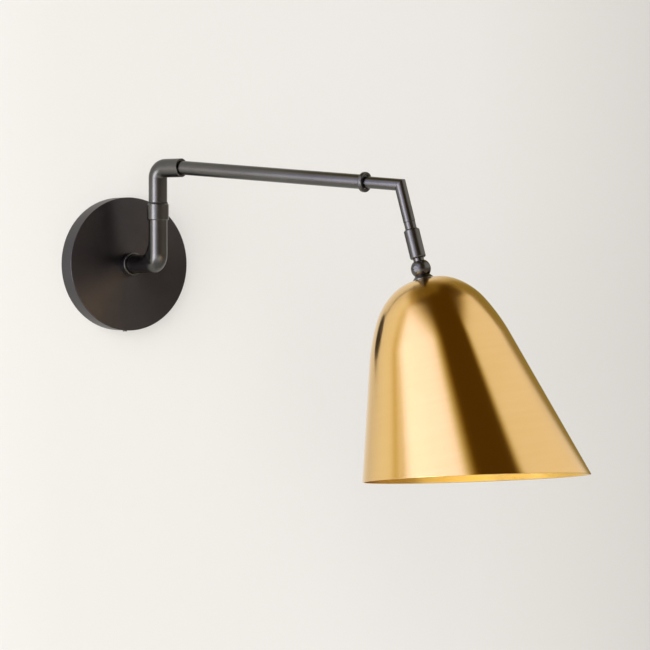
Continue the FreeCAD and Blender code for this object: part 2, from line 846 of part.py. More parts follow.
def makeOuterTube():
    hole = aimed(rod(z.key_screw_radius + z.fit_gap, nothing, z.ring_radius), Vector(0, -1, 0),
                 height=ringFront() - z.ring_length / 2)
    body = tube(z.tube_radius, z.tube_bore_radius, -z.tube_seat_depth, bushFront())
    finish("outer_tube", cut(body, hole), tube_frame)


def makeEndRing():
    front = ringFront()
    back = front - z.ring_length
    seat = z.tube_radius + z.fit_gap
    outline = [
        (seat, back),
        (z.ring_radius - z.ring_round, back),
        Arc(z.ring_round, -1),
        (z.ring_radius, back + z.ring_round),
        (z.ring_radius, front - z.ring_round),
        Arc(z.ring_round, -1),
        (z.ring_radius - z.ring_round, front),
        (z.ring_mouth_radius, front),
        (z.ring_mouth_radius - z.ring_lip / 2, bushFront()),
        (seat, bushFront()),
    ]
    height = front - z.ring_length / 2
    hole = aimed(rod(z.key_screw_radius + z.fit_gap, nothing, z.ring_radius + z.cut_overrun),
                 Vector(0, -1, 0), height=height)
    finish("end_ring", cut(turned(outline), hole), tube_frame)
    groove_floor = z.inner_radius - z.key_slot_depth + z.running_gap
    thread = rod(z.key_screw_radius, z.inner_radius + z.running_gap, z.ring_radius - z.running_gap)
    tip = rod(z.key_screw_tip_radius, groove_floor, z.inner_radius + z.running_gap)
    finish("key_screw", aimed(fuse(thread, tip), Vector(0, -1, 0), height=height), tube_frame)


def makeGuideBush():
    front = bushFront()
    hole = aimed(rod(z.key_screw_radius + z.fit_gap, nothing, z.ring_radius), Vector(0, -1, 0),
                 height=ringFront() - z.ring_length / 2)
    body = tube(z.tube_bore_radius - z.fit_gap, z.inner_radius + z.running_gap, front - z.bush_length, front)
    finish("guide_bush", cut(body, hole), tube_frame)


def tailEnd():
    # the stop ring meets the bush just past the longest reach
    stop = bushFront() - z.bush_length - z.slide_out - z.slide_end_spare
    return stop - z.tail_ring_width - z.tail_ring_setback


def mitreTool(sign):
    # a large block whose face lies in the plane that halves the corner
    size = 6 * z.inner_radius
    middle = (tube_way + drop_way).normalize() * sign
    turn = FreeCAD.Placement(corner_point, FreeCAD.Rotation(up, middle))
    return moved(block(-size, size, -size, size, nothing, 2 * size), turn)


def makeInnerTube():
    tail = tailEnd()
    past = tube_reach + 2 * z.inner_radius
    body = tube(z.inner_radius, z.inner_bore_radius, tail, past)
    screw = ringFront() - z.ring_length / 2
    margin = z.key_screw_tip_radius + z.slide_end_spare
    slot = block(-z.key_slot_width / 2, z.key_slot_width / 2, -z.inner_radius - z.cut_overrun,
                 z.key_slot_depth - z.inner_radius, screw - z.slide_out - margin, screw + z.slide_in + margin)
    start = tail + z.tail_ring_setback
    groove = tube(z.inner_radius + z.cut_overrun, z.inner_radius - z.tail_ring_groove, start,
                  start + z.tail_ring_width)
    piece = moved(cut(body, slot, groove), tube_frame)
    finish("inner_tube", cut(piece, mitreTool(1)))
    floor = z.inner_radius - z.tail_ring_groove + z.fit_gap
    ring = tube(z.tube_bore_radius - z.running_gap, floor, start + z.fit_gap,
                start + z.tail_ring_width - z.fit_gap)
    half = z.tail_ring_gap_width / 2
    gap = block(nothing, z.tube_radius, -half, half, start - z.cut_overrun,
                start + z.tail_ring_width + z.cut_overrun)
    finish("tail_stop_ring", cut(ring, gap), tube_frame)


def makeDropTube():
    body = moved(tube(z.inner_radius, z.inner_bore_radius, -2 * z.inner_radius, z.neck_start), drop_frame)
    finish("drop_tube", cut(body, mitreTool(-1)))


# Spigot, turning sleeve and knuckle

def sleeveTop():
    return z.neck_start + z.neck_length + z.sleeve_end_gap


def sleeveEnd():
    return sleeveTop() + z.sleeve_length


def clipStart():
    return sleeveTop() + z.sleeve_ledge + z.sleeve_washer_thickness + z.running_gap


def spigotEnd():
    return z.neck_start + z.neck_length + z.spigot_length


def makeSpigot():
    clip = clipStart()
    clip_end = clip + z.clip_width
    clip_floor = z.spigot_radius - z.clip_groove_depth
    under = z.neck_start + z.neck_undercut_width
    seat = z.neck_start + z.neck_length
    outline = [
        (z.spigot_bore_radius, z.neck_start - z.spigot_inset),
        (z.spigot_root_radius, z.neck_start - z.spigot_inset),
        (z.spigot_root_radius, z.neck_start),
        (z.neck_undercut_radius, z.neck_start),
        (z.neck_undercut_radius, under),
        (z.neck_radius, under),
        (z.neck_radius, seat),
        (z.spigot_radius, seat),
        (z.spigot_radius, clip),
        (clip_floor, clip),
        (clip_floor, clip_end),
        (z.spigot_radius, clip_end),
        (z.spigot_radius, spigotEnd()),
        (z.spigot_bore_radius, spigotEnd()),
    ]
    tip = z.sleeve_screw_tip_radius + z.running_gap
    floor = z.spigot_radius - z.sleeve_screw_tip_reach - z.running_gap
    height = sleeveTop() + z.sleeve_screw_setback
    tip_angle = asSize(math.degrees(math.asin(tip.value / floor.value)))
    stop_groove = sector(z.spigot_radius + z.cut_overrun, floor, height - tip, height + tip,
                         asSize(-quarter_turn), z.turn_half_angle + tip_angle)
    finish("drop_spigot", cut(turned(outline), stop_groove), drop_frame)
    ring = tube(z.clip_radius, clip_floor + z.fit_gap, clip + z.fit_gap, clip_end - z.fit_gap)
    half = z.clip_gap_width / 2
    gap = block(nothing, z.sleeve_radius, -half, half, clip - z.cut_overrun, clip_end + z.cut_overrun)
    finish("spigot_clip", cut(ring, gap), drop_frame)


def makeSleeve():
    top = sleeveTop()
    end = sleeveEnd()
    ledge = top + z.sleeve_ledge
    bore = z.spigot_radius + z.running_gap
    outline = [
        (bore, top),
        (z.sleeve_radius - z.sleeve_chamfer, top),
        (z.sleeve_radius, top + z.sleeve_chamfer),
        (z.sleeve_radius, end - z.sleeve_lip_round),
        Arc(z.sleeve_lip_round, -1),
        (z.sleeve_chamber_radius, end),
        (z.sleeve_chamber_radius, ledge),
        (bore, ledge),
    ]
    height = top + z.sleeve_screw_setback
    hole = aimed(rod(z.sleeve_screw_radius + z.fit_gap, nothing, z.sleeve_radius + z.cut_overrun),
                 Vector(0, -1, 0), height=height)
    finish("swivel_sleeve", cut(turned(outline), hole), drop_frame)
    thread = rod(z.sleeve_screw_radius, bore, z.sleeve_radius - z.running_gap)
    tip = rod(z.sleeve_screw_tip_radius, z.spigot_radius - z.sleeve_screw_tip_reach, bore)
    finish("sleeve_stop_screw", aimed(fuse(thread, tip), Vector(0, -1, 0), height=height), drop_frame)
    finish("sleeve_washer", tube(z.sleeve_chamber_radius - z.running_gap, bore, ledge,
                                 ledge + z.sleeve_washer_thickness), drop_frame)


def acrossBall(radius, start, end):
    # a cylinder along the knuckle's pivot, which is the y axis
    return aimed(rod(radius, start, end), Vector(0, 1, 0))


def makeKnuckle():
    centre = FreeCAD.Placement(Vector(0, 0, z.ball_centre.value), FreeCAD.Rotation())
    half = z.tongue_half_width
    big = 2 * z.ball_radius
    slab = block(-big, big, -half, half, -z.ball_flat_height, big)
    tongue = common(ball(z.ball_radius), slab)
    neck = rod(z.knuckle_neck_radius, sleeveEnd() - z.ball_centre, nothing)
    plug = rod(z.sleeve_chamber_radius - z.fit_gap, sleeveEnd() - z.ball_centre - z.knuckle_plug_length,
               sleeveEnd() - z.ball_centre)
    bore = rod(z.spigot_bore_radius, -big, nothing)
    # the lead swings in a slot whose ends stand square to its two furthest places
    wire_slot = sector(big, z.running_gap, -z.spigot_bore_radius, z.spigot_bore_radius, nothing,
                       z.tilt_half_angle)
    lay_down = FreeCAD.Rotation(Vector(0, 0, 1), Vector(1, 0, 0), Vector(0, 1, 0), "ZXY")
    moved(wire_slot, FreeCAD.Placement(Vector(0, 0, 0), lay_down))
    tilt = math.radians(z.tilt_half_angle.value)
    slot_ends = []
    for side in (1, -1):
        way = Vector(side * math.sin(tilt), 0, math.cos(tilt))
        slot_ends.append(aimed(rod(z.spigot_bore_radius, nothing, big), way))
    hub = acrossBall(z.spigot_bore_radius, -z.spigot_bore_radius, z.spigot_bore_radius)
    pin_hole = z.knuckle_screw_radius + z.running_gap
    reach = z.knuckle_screw_tip - z.running_gap
    pins = [acrossBall(pin_hole, reach, big), acrossBall(pin_hole, -big, -reach)]
    body = cut(fuse(tongue, neck, plug), bore, wire_slot, hub, *slot_ends, *pins)
    finish("knuckle_tongue", body, drop_frame.multiply(centre))


def flangeTop():
    return z.crown_height - z.flange_rim_height


def makeFork():
    big = 2 * z.ball_radius
    flare = cone(z.flange_root_radius, z.flange_radius, z.flange_root_height, flangeTop())
    rim = rod(z.flange_radius, flangeTop(), z.crown_height)
    nipple = rod(z.shade_nipple_radius, z.crown_height, z.crown_height + z.shade_nipple_length)
    slot_half = z.tongue_half_width + z.cheek_gap
    slot = acrossBall(z.ball_radius + z.cheek_gap, -slot_half, slot_half)
    flat = block(-big, big, -big, big, -big, -z.ball_flat_height)
    bore = rod(z.spigot_bore_radius, nothing, z.crown_height + z.shade_nipple_length + z.cut_overrun)
    head = root(z.ball_radius * z.ball_radius - z.knuckle_head_radius * z.knuckle_head_radius)
    seat = head - z.knuckle_head_sink - z.knuckle_head_height
    tools = [slot, flat, bore]
    screws = []
    for side in (1, -1):
        way = Vector(0, side, 0)
        tools.append(aimed(rod(z.knuckle_screw_radius + z.fit_gap, nothing, big), way))
        tools.append(aimed(rod(z.knuckle_head_radius + z.fit_gap, seat, big), way))
        shank = rod(z.knuckle_screw_radius, z.knuckle_screw_tip, seat)
        cap = rod(z.knuckle_head_radius, seat, seat + z.knuckle_head_height)
        slot_cut = block(-z.ball_radius, z.ball_radius, -z.knuckle_slot_width / 2, z.knuckle_slot_width / 2,
                         seat + z.knuckle_head_height / 2, big)
        screws.append(aimed(cut(fuse(shank, cap), slot_cut), way))
    finish("knuckle_fork", cut(fuse(ball(z.ball_radius), flare, rim, nipple), *tools), ball_frame)
    group("knuckle_screws", screws, ball_frame)


# Shade and its fittings

def shadeOutline(offset):
    # the outer line for no offset, and the inner line for the wall; centres of the arcs stay
    flat = z.crown_flat_radius
    height = z.crown_height
    angles = [nothing, z.crown_arc_end_angle, z.shoulder_arc_end_angle, quarter_turn - z.flare_half_angle]
    radii = [z.crown_arc_radius, z.shoulder_arc_radius, z.side_arc_radius]
    x = flat
    y = height
    points = [(flat, height + offset)]
    for radius, first, last in zip(radii, angles, angles[1:]):
        x = x + radius * (sine(last) - sine(first))
        y = y + radius * (cosine(first) - cosine(last))
        points.append((x - offset * sine(last), y + offset * cosine(last)))
    end_slope = sine(z.flare_half_angle) / cosine(z.flare_half_angle)
    last_x, last_y = points[-1]
    points.append((last_x + (z.shade_depth - last_y) * end_slope, z.shade_depth))
    return points, radii


def makeShade():
    hole = z.shade_nipple_radius + z.fit_gap
    outer, radii = shadeOutline(nothing)
    inner, _ = shadeOutline(z.shade_wall)
    outline = [(hole, z.crown_height), outer[0]]
    for radius, point in zip(radii, outer[1:]):
        outline += [Arc(radius, -1), point]
    outline += [outer[-1], inner[-1], inner[-2]]
    for radius, point in zip(reversed(radii), reversed(inner[:-2])):
        outline += [Arc(radius - z.shade_wall, 1), point]
    outline.append((hole, z.crown_height + z.shade_wall))
    body = turned(outline)
    side = 2 * z.shade_depth
    below = block(-side, side, -side, side, nothing, side)
    turn = FreeCAD.Rotation(Vector(0, 1, 0), -z.mouth_slant_angle.value)
    moved(below, FreeCAD.Placement(Vector(0, 0, z.mouth_distance.value), turn))
    finish("shade", cut(body, below), shade_frame)


def washerStart():
    # the washer's edge meets the crown's inner side where that side has begun to fall away
    arc = z.crown_arc_radius - z.shade_wall
    past_flat = z.shade_washer_radius - z.crown_flat_radius
    return z.crown_height + z.shade_wall + arc - root(arc * arc - past_flat * past_flat) + z.fit_gap


def makeShadeFittings():
    inside = washerStart()
    bore = z.shade_nipple_radius + z.fit_gap
    washer_end = inside + z.shade_washer_thickness
    finish("shade_washer", tube(z.shade_washer_radius, bore, inside, washer_end), ball_frame)
    nut_end = washer_end + z.shade_nut_height
    nut = cut(hexagon(z.shade_nut_corner_radius, washer_end, nut_end),
              rod(bore, washer_end - z.cut_overrun, nut_end + z.cut_overrun))
    finish("shade_nut", nut, ball_frame)
    cap_start = nut_end + z.cap_nut_gap
    cap_end = cap_start + z.cap_height
    outline = [
        (bore, cap_start),
        (z.cap_radius - z.cap_wall, cap_start),
        Arc(z.cap_wall, -1),
        (z.cap_radius, cap_start + z.cap_wall),
        (z.cap_radius, cap_end),
        (z.cap_radius - z.cap_wall, cap_end),
        (z.cap_radius - z.cap_wall, cap_start + z.cap_wall),
        (bore, cap_start + z.cap_wall),
    ]
    finish("socket_cap", turned(outline), ball_frame)
    return cap_end


def makeHolder(cap_end):
    start = cap_end - z.holder_inset
    end = start + z.holder_length
    floor = cap_end + z.holder_floor
    tip = floor + z.contact_height
    outline = [
        (nothing, start),
        (z.cap_radius - z.cap_wall - z.fit_gap, start),
        (z.cap_radius - z.cap_wall - z.fit_gap, cap_end),
        (z.holder_radius, cap_end),
        (z.holder_radius, end),
        (z.holder_cavity_radius, end),
        (z.holder_cavity_radius, floor),
        (nothing, floor),
    ]
    holes = [rod(z.contact_rivet_radius + z.fit_gap, start - z.cut_overrun, floor + z.cut_overrun)]
    for side in (1, -1):
        holes.append(aimed(rod(z.holder_wire_hole_radius, start - z.cut_overrun, floor + z.cut_overrun), up,
                           x=side * z.holder_wire_hole_offset))
    finish("lampholder_body", cut(turned(outline), *holes), ball_frame)
    shell_outline = [
        (z.shell_eye_radius, floor),
        (z.shell_radius, floor),
        (z.shell_radius, floor + z.shell_length),
        (z.shell_radius - z.shell_wall, floor + z.shell_length),
        (z.shell_radius - z.shell_wall, floor + z.shell_wall),
        (z.shell_eye_radius, floor + z.shell_wall),
    ]
    finish("screw_shell", turned(shell_outline), ball_frame)
    rivet = rod(z.contact_rivet_radius, start, floor)
    disc = rod(z.contact_disc_radius, floor, tip)
    finish("centre_contact", fuse(rivet, disc), ball_frame)
    return tip


def makeBulb(tip):
    cap_start = tip + z.bulb_cap_start
    cap_end = cap_start + z.bulb_cap_length
    neck_end = tip + z.bulb_neck_end
    centre = tip + z.bulb_length - z.bulb_radius
    rise = centre - neck_end
    ball_size = z.bulb_radius
    neck = z.bulb_neck_radius
    throat = (neck * neck + rise * rise - ball_size * ball_size) / (2 * (ball_size - neck))
    reach = ball_size + throat
    meet_x = ball_size * (neck + throat) / reach
    meet_y = centre - ball_size * rise / reach
    wall = z.bulb_glass_wall
    inner = ball_size - wall
    inner_x = inner * (neck + throat) / reach
    inner_y = centre - inner * rise / reach
    pole = tip + z.bulb_length
    start = cap_start + z.bulb_cap_length / 2
    outline = [
        (neck - 2 * wall, start),
        (neck - wall, start),
        (neck - wall, cap_end),
        (neck, cap_end),
        (neck, neck_end),
        Arc(throat, 1),
        (meet_x, meet_y),
        Arc(ball_size, -1),
        (ball_size, centre),
        Arc(ball_size, -1),
        (nothing, pole),
        (nothing, pole - wall),
        Arc(inner, 1),
        (inner, centre),
        Arc(inner, 1),
        (inner_x, inner_y),
        Arc(throat + wall, -1),
        (neck - wall, neck_end),
        (neck - wall, cap_end + wall),
        (neck - 2 * wall, cap_end + wall),
    ]
    finish("bulb_glass", turned(outline), ball_frame)
    cap_inner = z.bulb_cap_radius - z.bulb_cap_wall
    cap_outline = [
        (z.bulb_tip_radius + z.bulb_cap_wall, cap_start),
        (z.bulb_cap_radius, cap_start + z.bulb_cap_start),
        (z.bulb_cap_radius, cap_end),
        (cap_inner, cap_end),
        (cap_inner, cap_start + z.bulb_cap_start + z.bulb_cap_wall),
        (z.bulb_tip_radius + z.bulb_cap_wall, cap_start + z.bulb_cap_wall),
    ]
    finish("bulb_cap", turned(cap_outline), ball_frame)
    base = tip + z.bulb_tip_height
    finish("bulb_insulator", cone(z.bulb_tip_radius, z.bulb_tip_radius + z.bulb_cap_wall, base, cap_start),
           ball_frame)
    finish("bulb_contact", cone(z.contact_disc_radius, z.bulb_tip_radius, tip, base), ball_frame)
    stem_start = start - z.bulb_glass_wall
    stem_end = cap_end + z.bulb_stem_length
    plate_end = stem_end + z.filament_plate_thickness
    pieces = [
        rod(neck - 2 * wall - z.fit_gap, start, start + z.filament_plate_thickness),
        rod(z.bulb_stem_radius, start, stem_end),
        rod(z.filament_ring_radius + 2 * z.filament_radius, stem_end, plate_end),
    ]
    for quarter in range(4):
        angle = math.radians(quarter * quarter_turn)
        place = dict(x=z.filament_ring_radius * math.cos(angle), y=z.filament_ring_radius * math.sin(angle))
        pieces.append(aimed(rod(z.filament_radius, stem_end - z.filament_length, stem_end), up, **place))
    finish("bulb_light_source", fuse(*pieces), ball_frame)


# Leads, each along its real route

def makeStemCable(nut_top):
    start = spot(wall_frame, height=z.plate_depth - z.nipple_tail)
    corner = spot(stem_frame)
    end = spot(stem_frame, height=nut_top + z.swivel_chamber_spare)
    finish("stem_cable", lead([start, corner, end], z.cable_radius.value, z.bend_radius.value))


def makeArmCable(nut_top):
    side = z.cable_strand_offset
    start = nut_top + z.swivel_chamber_spare + z.cable_end_gap
    shift = 4 * z.cable_bend
    far = tube_reach - z.slide_in - z.cable_tail_margin
    points = [
        spot(arm_frame, height=start),
        spot(arm_frame, height=z.leg_height),
        spot(tube_frame),
        spot(tube_frame, height=shift),
        spot(tube_frame, x=-side, height=shift + z.cable_bend),
        spot(tube_frame, x=-side, height=far),
    ]
    bend = z.bend_radius - z.cable_radius
    finish("arm_cable", lead(points, z.cable_radius.value, bend.value))


def cableTurn():
    return spigotEnd() + z.cable_end_gap


def makeDropCable():
    side = z.cable_strand_offset
    tail = tailEnd() + z.cable_bend
    # both straight runs lie on the outer side of the corner, so they cross past it
    half_turn = tube_way.getAngle(drop_way) / 2
    past_corner = side * math.tan(half_turn)
    points = [
        spot(tube_frame, x=side, height=tail),
        spot(tube_frame, x=side, height=tube_reach + past_corner),
        spot(drop_frame, x=side, height=z.cable_bend),
        spot(drop_frame, height=2 * z.cable_bend),
        spot(drop_frame, height=cableTurn()),
    ]
    finish("drop_cable", lead(points, z.cable_radius.value, z.cable_bend.value))


def makeKnuckleCables():
    start = cableTurn() + z.cable_end_gap
    half_gap = z.cable_radius
    end = z.ball_centre - half_gap
    finish("sleeve_cable", rod(z.cable_radius, start, end), drop_frame)
    cap_start = washerStart() + z.shade_washer_thickness + z.shade_nut_height
    finish("shade_cable", rod(z.cable_radius, half_gap, z.crown_height + z.shade_nipple_length), ball_frame)
    holder_start = cap_start + z.cap_nut_gap + z.cap_height - z.holder_inset
    cores = []
    core_bend_share = 0.95
    for side in (1, -1):
        begin = z.crown_height + z.shade_nipple_length
        level = (begin + holder_start) / 2
        points = [
            spot(ball_frame, x=side * z.core_offset, height=begin),
            spot(ball_frame, x=side * z.core_offset, height=level),
            spot(ball_frame, x=side * z.holder_wire_hole_offset, height=level),
            spot(ball_frame, x=side * z.holder_wire_hole_offset, height=holder_start + z.holder_floor),
        ]
        cores.append(lead(points, z.core_radius.value, (level - begin).value * core_bend_share))
    group("holder_cores", cores)


def makeWallLeads():
    start = z.plate_depth - z.nipple_tail
    level = z.core_height
    # the three cores lie against each other in the cable
    out = z.core_offset * cosine(z.core_spread_angle)
    rise = z.core_offset * sine(z.core_spread_angle)
    connectors = []
    for label, side in (("live_core", 1), ("neutral_core", -1)):
        points = [
            spot(wall_frame, x=side * out, y=rise, height=start),
            spot(wall_frame, x=side * out, y=rise, height=level),
            spot(wall_frame, x=side * z.core_run / 2, y=rise, height=level),
            spot(wall_frame, x=side * (z.core_run / 2 + z.connector_grip), y=rise, height=z.core_rise),
            spot(wall_frame, x=side * z.core_run, y=rise, height=z.core_rise),
        ]
        finish(label, lead(points, z.core_radius.value, z.core_bend.value))
        begin = z.core_run - z.connector_grip
        shell = cone(z.connector_radius, z.connector_tip_radius, begin, begin + z.connector_length)
        bore = rod(z.core_radius + z.fit_gap, begin - z.cut_overrun, z.core_run + z.fit_gap)
        connectors.append(aimed(cut(shell, bore), Vector(side, 0, 0), y=rise, height=z.core_rise))
    group("wire_connectors", connectors, wall_frame)
    points = [
        spot(wall_frame, y=-z.core_offset, height=start),
        spot(wall_frame, y=-z.core_offset, height=level),
        spot(wall_frame, y=z.terminal_radius - z.earth_screw_offset + z.core_bend, height=level),
        spot(wall_frame, y=z.terminal_radius - z.earth_screw_offset + z.fit_gap,
             height=z.bracket_thickness + z.core_radius + z.fit_gap),
    ]
    finish("earth_core", lead(points, z.core_radius.value, z.core_bend.value))


makeBracket()
makePlate()
makePlateScrews()
makeEarth()
makeNipple()
makeBaseRing()
makeLowerElbow()
swivel_top = makeSwivel()
makeCollar()
makeUpperElbow(swivel_top)
makeTubeScrew()
makeOuterTube()
makeEndRing()
makeGuideBush()
makeInnerTube()
makeDropTube()
makeSpigot()
makeSleeve()
makeKnuckle()
makeFork()
makeShade()
cap_bottom = makeShadeFittings()
contact_tip = makeHolder(cap_bottom)
makeBulb(contact_tip)
makeStemCable(swivel_top)
makeArmCable(swivel_top)
makeDropCable()
makeKnuckleCables()
makeWallLeads()

doc.recompute()
faults = []
for thing in doc.Objects:
    if "Invalid" in thing.State or "Error" in thing.State:
        faults.append(thing.Label)
for piece in parts:
    if piece.Shape.isNull() or not piece.Shape.isValid() or piece.Shape.Volume <= 0:
        faults.append(piece.Label)
if faults:
    raise RuntimeError("failed: " + ", ".join(faults))

os.makedirs("parts", exist_ok=True)
for piece in parts:
    piece.Shape.exportStep(f"parts/{piece.Label}.step")
    print(piece.Label, len(piece.Shape.Solids), round(piece.Shape.Volume, 1))
print(len(parts), "pieces")
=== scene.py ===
import json
import math

import bpy
from mathutils import Matrix, Vector


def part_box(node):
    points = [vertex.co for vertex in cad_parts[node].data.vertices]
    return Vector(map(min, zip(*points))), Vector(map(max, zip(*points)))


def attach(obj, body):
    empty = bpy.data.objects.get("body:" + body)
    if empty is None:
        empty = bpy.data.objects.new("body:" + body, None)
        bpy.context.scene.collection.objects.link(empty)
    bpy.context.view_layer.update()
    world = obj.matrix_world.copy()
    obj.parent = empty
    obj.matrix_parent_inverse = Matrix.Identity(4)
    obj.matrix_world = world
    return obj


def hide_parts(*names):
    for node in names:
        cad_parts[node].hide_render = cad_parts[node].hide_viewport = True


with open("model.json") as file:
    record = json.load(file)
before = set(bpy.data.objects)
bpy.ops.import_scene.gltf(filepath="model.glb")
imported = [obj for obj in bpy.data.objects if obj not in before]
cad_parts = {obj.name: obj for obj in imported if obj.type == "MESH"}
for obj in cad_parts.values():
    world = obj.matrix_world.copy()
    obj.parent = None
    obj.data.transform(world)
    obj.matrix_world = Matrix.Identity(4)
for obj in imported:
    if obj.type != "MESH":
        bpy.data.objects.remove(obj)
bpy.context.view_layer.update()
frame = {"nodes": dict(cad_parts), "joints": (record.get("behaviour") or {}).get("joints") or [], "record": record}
cadNodes = frame["nodes"]
print("frame loaded:", len(cadNodes), "pieces")

# the lamp's own directions, read from its joints; sizes below are in millimetres
mm = 0.001
up = Vector((0, 0, 1))
joints = {joint["name"]: joint for joint in frame["joints"]}
stemFoot = Vector(joints["arm_swing"]["pos_m"])
tubeWay = Vector(joints["arm_extend"]["axis"]).normalized()
armWay = Vector((tubeWay.x, tubeWay.y, 0)).normalized()
cornerPoint = Vector(joints["shade_turn"]["pos_m"])
dropWay = Vector(joints["shade_turn"]["axis"]).normalized()
ballPoint = Vector(joints["shade_tilt"]["pos_m"])


def placeAlong(origin, across, along):
    # a place whose z runs along the piece and whose x lies on the side named by across
    z = along.normalized()
    y = z.cross(across).normalized()
    place = Matrix((y.cross(z), y, z)).transposed().to_4x4()
    place.translation = origin
    return place


def leaning(degrees):
    # a way in the arm's upright plane, so many degrees from straight down
    lean = math.radians(degrees)
    return armWay * math.sin(lean) - up * math.cos(lean)


wallPlace = placeAlong(Vector((0, 0, 0)), Vector((1, 0, 0)), Vector((0, -1, 0)))
dropPlace = placeAlong(cornerPoint, tubeWay, dropWay)


# outlines: closed lists of (radius, distance along the piece)
smoothTurn = 20  # a smaller turn, in degrees, is a point on a smooth stretch
longestCut = 0.4  # the most of a side that its corner's arc takes up


def rounded(outline, radius, steps=3):
    # each real corner becomes a small arc, so that edges catch the light
    result = []
    count = len(outline)
    for i in range(count):
        before = Vector(outline[i - 1])
        here = Vector(outline[i])
        after = Vector(outline[(i + 1) % count])
        back = before - here
        ahead = after - here
        if math.degrees(back.angle(-ahead)) < smoothTurn:
            result.append(tuple(here))
            continue
        reach = min(radius, longestCut * back.length, longestCut * ahead.length)
        start = here + back.normalized() * reach
        end = here + ahead.normalized() * reach
        for step in range(steps + 1):
            t = step / steps
            first = start.lerp(here, t)
            result.append(tuple(first.lerp(here.lerp(end, t), t)))
    return result


# a turned piece's place in a texture: once round it is 1, and a millimetre along its outline is this
uvPerMillimetre = 0.01


def turnedMesh(name, outline, place, sides=96, move=None):
    # turns the outline round the piece's own way; move changes a point before it is placed
    count = len(outline)
    runs = [0]
    for i in range(count):
        runs.append(runs[-1] + math.dist(outline[i], outline[(i + 1) % count]))
    points = []
    for side in range(sides):
        angle = 2 * math.pi * side / sides
        for radius, distance in outline:
            if move:
                distance = move(radius, distance, angle)
            spot = Vector((radius * math.cos(angle), radius * math.sin(angle), distance))
            points.append(place @ (spot * mm))
    return ringMesh(name, points, sides, lambda side, i: runs[i])


def ringMesh(name, points, sides, runAt):
    # a closed skin through the outline's points on each side; runAt gives a point's distance along it
    count = len(points) // sides
    faces = []
    corners = []
    for side in range(sides):
        a = side * count
        b = (side + 1) % sides * count
        for i in range(count):
            j = (i + 1) % count
            faces.append((a + i, b + i, b + j, a + j))
            corners.append(((side, i), (side + 1, i), (side + 1, i + 1), (side, i + 1)))
    mesh = bpy.data.meshes.new(name)
    mesh.from_pydata(points, [], faces)
    layer = mesh.uv_layers.new(name="aroundAndAlong")
    for face, places in zip(mesh.polygons, corners):
        for loop, (side, i) in zip(face.loop_indices, places):
            layer.data[loop].uv = (side / sides, runAt(side, i) * uvPerMillimetre)
    mesh.shade_smooth()
    return mesh


def addPiece(name, mesh, body, slot, materials, *replaced):
    piece = bpy.data.objects.new(name, mesh)
    bpy.context.scene.collection.objects.link(piece)
    for material in materials:
        mesh.materials.append(material)
    normals = piece.modifiers.new("flat faces stay flat", "WEIGHTED_NORMAL")
    normals.keep_sharp = True
    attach(piece, body)
    if replaced:
        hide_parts(*replaced)


# materials: small helpers for their nodes
grainRoughness = 0.6
usualNoise = (0.3, 0.7)  # noise lies mostly between these
acrossTheGrain = 0.25  # a quarter of a turn


def newMaterial(name):
    material = bpy.data.materials.new(name)
    material.use_nodes = True
    return material, material.node_tree, material.node_tree.nodes["Principled BSDF"]


def addNode(tree, kind, links=None, **settings):
    node = tree.nodes.new(kind)
    for setting, value in settings.items():
        setattr(node, setting, value)
    for socket, source in (links or {}).items():
        if isinstance(source, bpy.types.NodeSocket):
            tree.links.new(source, node.inputs[socket])
        else:
            node.inputs[socket].default_value = source
    return node


def math2(tree, operation, first, second=0.0):
    return addNode(tree, "ShaderNodeMath", {0: first, 1: second}, operation=operation).outputs[0]


def grain(tree, coordinates, scale, detail=3.0, stretch=(1, 1, 1)):
    # noise with so many waves in a metre
    mapping = addNode(tree, "ShaderNodeMapping", {"Vector": coordinates, "Scale": Vector(stretch) * scale})
    noise = addNode(tree, "ShaderNodeTexNoise",
                    {"Vector": mapping.outputs[0], "Scale": 1.0, "Detail": detail,
                     "Roughness": grainRoughness})
    return noise.outputs["Fac"]


def spread(tree, value, low, high):
    # noise spread between two numbers
    ends = {"From Min": usualNoise[0], "From Max": usualNoise[1], "To Min": low, "To Max": high}
    return addNode(tree, "ShaderNodeMapRange", {"Value": value, **ends}).outputs["Result"]


def vectorMath(tree, operation, links, output=0):
    return addNode(tree, "ShaderNodeVectorMath", links, operation=operation).outputs[output]


def mixShader(tree, share, first, second):
    return addNode(tree, "ShaderNodeMixShader", {0: share, 1: first, 2: second}).outputs[0]


def blendColour(tree, factor, first, second):
    mix = addNode(tree, "ShaderNodeMix", {"Factor": factor}, data_type="RGBA")
    mix.inputs[6].default_value = (*first, 1)
    mix.inputs[7].default_value = (*second, 1)
    return mix.outputs[2]


def bump(tree, shader, height, strengthAndDepth):
    strength, depth = strengthAndDepth
    node = addNode(tree, "ShaderNodeBump", {"Height": height, "Strength": strength, "Distance": depth})
    tree.links.new(node.outputs[0], shader.inputs["Normal"])


def objectPoint(tree):
    return addNode(tree, "ShaderNodeTexCoord").outputs["Object"]


def roundPoint(tree, radius):
    # a point on a drum of that radius in metres, from the distances round and along a turned piece,
    # so that brushing runs round it without a seam
    uv = addNode(tree, "ShaderNodeUVMap", uv_map="aroundAndAlong").outputs[0]
    parts = addNode(tree, "ShaderNodeSeparateXYZ", {0: uv})
    angle = math2(tree, "MULTIPLY", parts.outputs[0], 2 * math.pi)
    x = math2(tree, "MULTIPLY", math2(tree, "COSINE", angle), radius)
    y = math2(tree, "MULTIPLY", math2(tree, "SINE", angle), radius)
    along = math2(tree, "MULTIPLY", parts.outputs[1], mm / uvPerMillimetre)
    return addNode(tree, "ShaderNodeCombineXYZ", {0: x, 1: y, 2: along}).outputs[0]


blackMetal = {
    "dark": (0.112, 0.109, 0.106),
    "light": (0.141, 0.138, 0.134),
    "roughness": (0.27, 0.34),
    "grainPerMetre": 2600,
    "cloudPerMetre": 28,
    "bump": (0.05, 0.0002),
}


